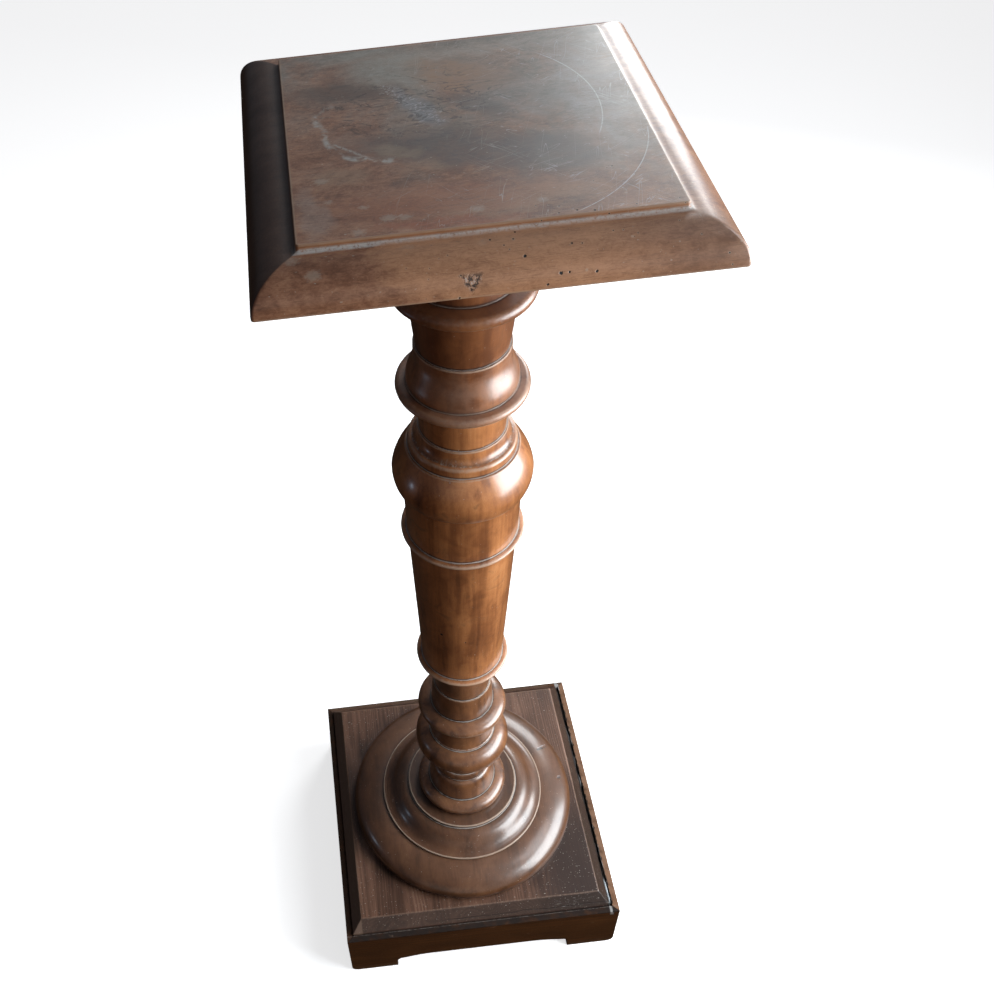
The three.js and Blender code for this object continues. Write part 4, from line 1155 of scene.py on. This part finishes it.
def bare_underside(r, z, streaks, clouds):
    """Planed wood, matt, gone brown with age."""
    under = z.between(0.6, 0.1)
    tones = [(0.0, (0.070, 0.035, 0.020)), (1.0, (0.260, 0.150, 0.090))]
    r.paint(r.ramp(streaks * 0.5 + clouds * 0.6 - 0.1, tones), under)
    r.gloss = r.gloss.most(under * 0.92)
    r.shine = (r.shine - under * 2.0).most(0.0)


# %% Top board material
def top_material():
    r = Recipe("walnut_faded_top")
    x, y, z = r.split(r.place - (AXIS_X, 0.0, TOP_Z))
    streaks, pores, clouds = figure(r, "x", (25.0, -30.0), ring=11.0, sway=46.0, seed=8.0)[1:]
    side = x.away().most(y.away())
    field = side.between(FIELD_EDGE + 1.2, FIELD_EDGE - 1.2)
    grit = r.noise(r.place * 0.5, 4.0, 0.7)
    mottle = r.noise(r.place * (0.026, 0.042, 0.042) + (7.0, 2.0, 0.0), 5.0, 0.62, 1.0)
    fleck = r.noise(r.place * (0.11, 0.20, 0.20) + (1.0, 5.0, 2.0), 3.0, 0.62, 0.6)
    net = r.noise(r.place * (0.22, 0.36, 0.36) + (3.0, 1.0, 6.0), 4.0, 0.72, 1.6)
    tone = streaks * 0.22 + clouds * 0.30 + mottle * 0.95 + fleck * 0.75 + net * 0.80 - 1.03
    bleached_wood(r, x, y, tone, field)
    stained_patches(r, field, fleck, net)
    pot, chalk = pot_stains(r, field, grit, fleck, net)
    blots_and_chips(r, grit, fleck)
    scratch = scratches(r, x, field, grit)
    rubbed_riser_and_cove_highlight(r, y, z, side, grit)
    moulding_tones(r, x, y, z, mottle, fleck, net)
    r.paint((0.030, 0.016, 0.010), pores * 0.4)
    rubbed = (r.attribute("wear") * 1.2 + grit * 0.9 - 0.8).between(0.0, 0.8)
    r.paint((0.38, 0.27, 0.19), rubbed * 0.5)
    holes = small_worm_holes(r, x, y)
    r.height = streaks * 0.05 - pores * 0.05 + grit * 0.14 + fleck * 0.10 - scratch * 0.10 - holes
    r.gloss = 0.46 + (fleck - 0.5) * 0.30 + pot * 0.2 + chalk * 0.2 + holes * 0.3
    r.shine = 0.50 - pot * 0.3 - chalk * 0.3 + (mottle - 0.5) * 0.7 + (fleck - 0.5) * 0.35
    for hole_x, hole_y, hole_z, radius in BIG_HOLES:
        worm_hole(r, (hole_x, hole_y, TOP_Z + hole_z), radius)
    bruise_in_a_v(r, x, y, z, grit)
    bare_underside(r, z, streaks, clouds)
    return r.finish(bump=0.4, coat_roughness=0.22)


dress(top_board, top_material())

# %% [markdown]
# ## The plinth's wood
# The plinth board is satin walnut with its grain running front to back, darkest at its front right. Its
# front bevel is scuffed by shoes, and its left bevel is painted lighter, as painted light. The rails are
# nearly black with old stain, with a little bare wood showing on their top edges. Beside the gap both are
# painted black in ragged places, as painted shade that widens the gap, and both are smeared with glue.

# %% Plinth board and rail materials
GAP_NOISE = (0.28, 0.06, 0.28)  # smears run along the gap


def board_marks(r, grit):
    """The stained corner, the bevels (the left one painted lighter, as painted light), the gap's ragged edge
    painted black as painted shade, shoe scuffs and a crack in the bevel.
    """
    x, y, z = r.split(r.place)
    stain = ((r.place - (122.0, -110.0, 109.0)) * (1.0, 0.55, 1.0)).size() + grit * 30.0
    r.paint((0.020, 0.009, 0.006), stain.between(100.0, 35.0) * 0.92)
    front_bevel = y.between(-139.5, -141.5)
    r.paint((0.030, 0.023, 0.021), front_bevel * 0.65)
    # Painted light: the left bevel, which lies in shade, is painted lighter; the right bevel and edge are
    # painted darker.
    r.paint((0.150, 0.098, 0.072), x.between(-141.5, -143.5) * 0.8)
    r.paint((0.022, 0.014, 0.011), x.between(138.5, 140.5) * 0.8)
    bare_arris = (x - 139.6).away().between(1.0, 0.3) * (y * 0.012 + grit - 0.3).between(0.0, 0.5)
    r.paint((0.34, 0.21, 0.165), bare_arris * 0.45)
    rub = r.noise(r.place * (0.25, 0.9, 0.9), 4.0, 0.7).between(0.58, 0.70)
    shoe = r.stroke((86, -147, 98), (124, -145, 102), 3.0).between(9.0, -2.0) * rub
    r.paint((0.40, 0.37, 0.34), shoe * 0.6)
    # Painted shade: a ragged band next to the gap is painted black, widening the gap's dark.
    gap_shade_edge = (r.noise(r.place * (0.2, 0.10, 0.2), 4.0, 0.7) - 0.40) * 12.0
    r.paint((0.006, 0.005, 0.004), (x - 150.8 + gap_shade_edge).between(0.0, 0.6) * x.between(143.0, 146.0) * 0.95)
    smear = (x - 152.6 + r.noise(r.place * GAP_NOISE, 4.0, 0.65) * 10.0).between(5.6, 6.6)
    smear = smear * x.between(141.0, 146.0)
    r.paint((0.32, 0.31, 0.30), smear * 0.7)
    sway = (r.noise(r.place * (0.03, 0.0, 0.0), 2.0) - 0.5) * 6.0
    crack = (z - 97.5 - sway).away().between(0.55, 0.15) * front_bevel * x.between(-60.0, -30.0)
    r.paint((0.008, 0.006, 0.005), crack * 0.8)
    edge = (r.attribute("wear") * 1.2 + grit - 0.85).between(0.0, 0.7)
    r.paint((0.26, 0.16, 0.11), edge * 0.5)
    dust = r.noise(r.place * 0.7, 1.0, 0.4).between(0.72, 0.75)
    r.paint((0.5, 0.45, 0.40), dust * 0.5)
    r.height = r.height + smear * 0.3 - crack * 0.5
    r.gloss = r.gloss + shoe * 0.2


def rail_marks(r, grit, ledge_colour, ledge_bare):
    """Bare wood on the top edge, the gap's other ragged edge painted black as painted shade, floor dirt on
    the feet and knocks.
    """
    x, y, z = r.split(r.place)
    top_edge = z.between(88.3, 89.6)
    bare = (r.noise(r.place * 0.08, 3.0, 0.6) * 1.4 - 0.1).between(0.1, 0.7) * top_edge * ledge_bare
    r.paint(ledge_colour, bare * 0.8)
    beside_gap = x.between(150.0, 151.0) * z.between(82.0, 84.0)
    # Painted shade: a ragged band next to the gap is painted black, widening the gap's dark.
    gap_shade_edge = (r.noise(r.place * (0.2, 0.12, 0.2), 4.0, 0.7) - 0.36) * 9.0
    r.paint((0.006, 0.005, 0.004), (154.4 + gap_shade_edge - x).between(0.0, 0.6) * beside_gap * 0.95)
    smear_noise = r.noise(r.place * GAP_NOISE + (4.0, 0.0, 0.0), 4.0, 0.65)
    smear = (smear_noise * 9.0 - (x - 153.5)).between(3.4, 4.4) * beside_gap
    r.paint((0.33, 0.32, 0.31), smear * 0.7)
    crease_line = (y + 153.2).away().between(0.9, 0.3) * top_edge * grit.between(0.35, 0.6)
    r.paint((0.22, 0.19, 0.17), crease_line * 0.4)
    foot_dirt = z.between(14.0, 0.0) * grit.between(0.3, 0.7)
    r.paint((0.085, 0.070, 0.055), foot_dirt * 0.5)
    knock = r.noise(r.place * (0.05, 0.05, 0.12), 3.0, 0.7).between(0.66, 0.72)
    r.paint((0.16, 0.10, 0.07), knock * 0.5)
    r.height = r.height + smear * 0.3 - knock * 0.3
    r.gloss = r.gloss + bare * 0.15 + top_edge * 0.25
    r.shine = r.shine - top_edge * 0.2


def satin_walnut(name, along, pith, stops, seed, rough, coat, specular, marks, *ledge):
    r = Recipe(name)
    rings, streaks, pores, clouds = figure(r, along, pith, ring=6.5, sway=26.0, seed=seed)
    r.colour = r.ramp(rings * 0.22 + streaks * 0.75 + clouds - 0.46, stops)
    grit = r.noise(r.place * 0.42 + (seed, 0.0, 0.0), 4.0, 0.7)
    r.paint((0.018, 0.009, 0.006), pores * 0.6)
    r.height = streaks * 0.08 - pores * 0.06 + grit * 0.15
    r.gloss = rough + (grit - 0.5) * 0.25
    r.shine = coat + (clouds - 0.5) * 0.3 - pores * 0.1
    marks(r, grit, *ledge)
    return r.finish(bump=0.4, coat_roughness=0.25, specular=specular)


BOARD_TONES = [
    (0.0, (0.022, 0.008, 0.004)),
    (0.35, (0.056, 0.025, 0.014)),
    (0.65, (0.115, 0.055, 0.033)),
    (1.0, (0.200, 0.108, 0.070)),
]
RAIL_TONES = [
    (0.0, (0.015, 0.0050, 0.0015)),
    (0.35, (0.032, 0.0105, 0.0025)),
    (0.65, (0.058, 0.0195, 0.0045)),
    (1.0, (0.095, 0.036, 0.010)),
]
# Each rail's grain, and its top edge's bare colour and how much of it shows.
RAIL_LOOKS = {
    "front": ("x", (0.012, 0.009, 0.008), 1.1),
    "right": ("y", (0.210, 0.115, 0.070), 1.0),
    "back": ("x", (0.110, 0.070, 0.050), 0.8),
    "left": ("y", (0.022, 0.014, 0.011), 0.9),
}
dress(
    plinth_board,
    satin_walnut("walnut_plinth_board", "y", (30.0, 240.0), BOARD_TONES, 10.0, 0.40, 0.22, 0.42, board_marks),
)
for number, (place, (along, *ledge)) in enumerate(RAIL_LOOKS.items()):
    pith = (160.0 + 20 * number, 60.0)
    name = "walnut_" + place
    wood = satin_walnut(name, along, pith, RAIL_TONES, 12.0 + number, 0.46, 0.12, 0.18, rail_marks, *ledge)
    dress(rails["plinth_rail_" + place], wood)

# %% [markdown]
# ## What is out of sight
# Glue blocks, wedge and screws are only seen when the stand is turned over. They still get their own
# finish: unpolished pale wood with saw marks and glue stains, and old steel with rust.

# %% Inside wood, screws and glue
INSIDE_TONES = [
    (0.0, (0.13, 0.075, 0.038)),
    (0.4, (0.24, 0.15, 0.080)),
    (0.7, (0.34, 0.22, 0.125)),
    (1.0, (0.44, 0.31, 0.19)),
]
STEEL_TONES = [(0.0, (0.22, 0.21, 0.20)), (1.0, (0.42, 0.41, 0.39))]
GLUE_TONES = [(0.0, (0.12, 0.13, 0.14)), (0.45, (0.30, 0.33, 0.35)), (1.0, (0.58, 0.62, 0.64))]


def inside_wood(name, along, seed):
    r = Recipe(name)
    rings, streaks, pores, clouds = figure(r, along, (35.0, 80.0), ring=4.0, sway=8.0, seed=seed)
    r.colour = r.ramp(rings * 0.35 + streaks * 0.45 + clouds * 0.5 - 0.15, INSIDE_TONES)
    saw = r.noise(r.place * (0.6, 0.6, 0.03), 2.0, 0.6)
    soil = r.noise(r.place * 0.06, 4.0, 0.65).between(0.45, 0.75)
    r.paint((0.065, 0.045, 0.030), soil * 0.6)
    r.paint((0.10, 0.055, 0.025), pores * 0.5)
    r.height = saw * 0.25 - pores * 0.05
    r.gloss = 0.72 + saw * 0.15
    return r.finish(bump=0.5)


def old_steel():
    r = Recipe("screw_steel")
    rust = r.noise(r.place * 0.9, 4.0, 0.65)
    spot = rust.between(0.46, 0.66)
    scratch = r.noise(r.place * (6.0, 0.6, 0.6), 2.0, 0.6)
    r.colour = r.ramp(scratch, STEEL_TONES)
    r.paint((0.12, 0.050, 0.022), spot * 0.85)
    r.height = rust * 0.15 + scratch * 0.03
    r.gloss = 0.38 + spot * 0.4
    return r.finish(bump=0.5, metallic=1 - spot * 0.9)


def dried_glue():
    """Grey crumbs, painted near-black nearly everywhere but at the front end, as painted shade deep in the
    gap.
    """
    r = Recipe("dried_glue")
    y = r.split(r.place)[1]
    crumb = r.noise(r.place * 0.55, 4.0, 0.7)
    behind = (y * 0.012 + 1.55).between(0.0, 0.4) * 0.30
    # Painted shade: the glue is darkened everywhere but at the front end.
    gap_shade = (r.noise(r.place * (0.2, 0.045, 0.2), 3.0, 0.6) + behind).between(0.50, 0.66)
    r.colour = r.ramp(crumb, GLUE_TONES)
    r.paint((0.020, 0.016, 0.014), gap_shade * 0.93)
    r.height = crumb * 1.2
    r.gloss = 0.42 + crumb * 0.3
    r.shine = 0.4
    return r.finish(bump=0.8, coat_roughness=0.2)


block_wood = inside_wood("inside_wood", "z", 20.0)
wedge_wood = inside_wood("wedge_wood", "z", 23.0)
steel = old_steel()
for node_name in sorted(nodes):
    if node_name.startswith("corner_block"):
        dress(nodes[node_name], block_wood)
    if "screw" in node_name:
        dress(nodes[node_name], steel)
dress(nodes["tenon_wedge"], wedge_wood)
dress(old_glue, dried_glue())

# %% [markdown]
# ## The studio
# A pale floor that curves up into a pale wall, and no room. The photograph's light came from a low, wide
# window on the right, so one large soft panel stands there. A second panel behind the right shoulder
# gives the top its glare, and a tiny bluish one on the left the pinpoints of light in the dark side.
# The floor is seen by the camera and takes shadows, but it doesn't light the wood from below, because
# the real floor was dark. The sky colour below the horizon stands in for that brown floor.

# %% Floor
FLOOR_RADIUS = 5.0  # m
WALL_HEIGHT = 4.0  # m
FLOOR_SIDES = 96


def studio_floor():
    """Radius and height along one path: out flat, a quarter circle up, then straight up; carried round
    the middle as a lathe does, with its faces turned inwards."""
    bend = np.linspace(0, np.pi / 2, 12)
    reach = np.r_[0, np.linspace(0.4, FLOOR_RADIUS, 10), FLOOR_RADIUS + np.sin(bend[1:]), FLOOR_RADIUS + 1]
    rise = np.r_[0, np.zeros(10), 1 - np.cos(bend[1:]), WALL_HEIGHT]
    a = np.arange(FLOOR_SIDES) * 2 * np.pi / FLOOR_SIDES
    x = reach[:, None] * np.cos(a)
    y = reach[:, None] * np.sin(a)
    rows = np.stack([x, y, np.broadcast_to(rise[:, None], x.shape)], 2)
    return surface("studio_floor", rows[:, ::-1], False, {"wear": np.zeros(len(rows))})


floor = studio_floor()
floor.visible_diffuse = False
floor.visible_glossy = False
floor.visible_transmission = False
r = Recipe("pale_floor")
tint = r.noise(r.place * 0.0006, 2.0)
paper = r.ramp(tint, [(0.0, (0.80, 0.80, 0.80)), (1.0, (0.84, 0.84, 0.84))])
matt = r.node("ShaderNodeBsdfPrincipled", None, {"Base Color": paper, "Roughness": 1.0}, "BSDF")
matt.socket.node.inputs["Specular IOR Level"].default_value = 0.0
rise = r.split(r.place)[2].between(200.0, 2600.0)
glow = r.ramp(rise, [(0.0, (0.74, 0.74, 0.74)), (1.0, (1.0, 1.0, 1.0))])
r.tree.links.new(glow.socket, matt.socket.node.inputs["Emission Color"])
matt.socket.node.inputs["Emission Strength"].default_value = 0.95
r.out("ShaderNodeOutputMaterial", matt)
dress(floor, r.material)


# %% Light panels and the sky
def panel(name, place, towards, width, height, radiance, colour):
    """A soft rectangular light. Blender wants its power: radiance times area times pi."""
    data = bpy.data.lights.new(name, "AREA")
    data.shape = "RECTANGLE"
    data.size = width
    data.size_y = height
    data.energy = radiance * width * height * math.pi
    data.color = colour
    lamp = bpy.data.objects.new(name, data)
    bpy.context.scene.collection.objects.link(lamp)
    place = np.array(place, float)
    back = place - np.array(towards, float)
    back /= np.linalg.norm(back)
    side = np.cross((0, 0, 1), back)
    side /= np.linalg.norm(side)
    frame_of = np.eye(4)
    frame_of[:3, 0] = side
    frame_of[:3, 1] = np.cross(back, side)
    frame_of[:3, 2] = back
    frame_of[:3, 3] = place
    lamp.matrix_world = frame_of.T.tolist()
    return lamp


panel("window", (1.02, -0.30, 0.86), (0, 0, 0.62), 1.10, 0.80, 13.5, (0.90, 0.96, 1.0))
panel("window_sky", (1.05, 0.0, 2.0), (0, 0, 0.8), 0.80, 0.60, 5.0, (0.90, 0.95, 1.0))
panel("glare", (0.80, 1.42, 1.36), (0.05, 0, 1.0), 0.62, 0.76, 10.5, (0.97, 0.99, 1.0))
panel("blue_pinpoint", (-1.0, -0.06, 0.53), (0, 0, 0.45), 0.06, 0.06, 16.0, (0.6, 0.78, 1.0))

world = bpy.data.worlds.new("studio_sky")
bpy.context.scene.world = world
w = Nodes(world)
direction = w.node("ShaderNodeTexCoord", out="Generated")
dx, dy, dz = w.split(direction)
lit_side = (dx * 0.85 + dy * 0.30 - dz * 0.25).between(-0.45, 1.0)
upper = w.blend((0.044, 0.046, 0.055), (0.46, 0.47, 0.50), lit_side)
in_front = (dx * 0.45 - dy * 0.85 + dz * 0.10).between(-0.05, 1.0) * dz.between(0.78, 0.34)
upper = w.blend(upper, (0.66, 0.57, 0.52), in_front * 0.85)
haze = (dx * 0.28 + dy * 0.85 + dz * 0.45).between(0.86, 0.99)
upper = w.blend(upper, (0.50, 0.52, 0.53), haze * 0.35)
right_and_front = (dx * 0.75 - dy * 0.45).between(-0.5, 0.95)
lower = w.blend((0.022, 0.014, 0.010), (0.25, 0.135, 0.068), right_and_front)
both = w.blend(lower, upper, dz.between(-0.12, 0.12))
w.out("ShaderNodeOutputWorld", w.node("ShaderNodeBackground", None, {"Color": both}))

bpy.context.scene.view_settings.view_transform = "Standard"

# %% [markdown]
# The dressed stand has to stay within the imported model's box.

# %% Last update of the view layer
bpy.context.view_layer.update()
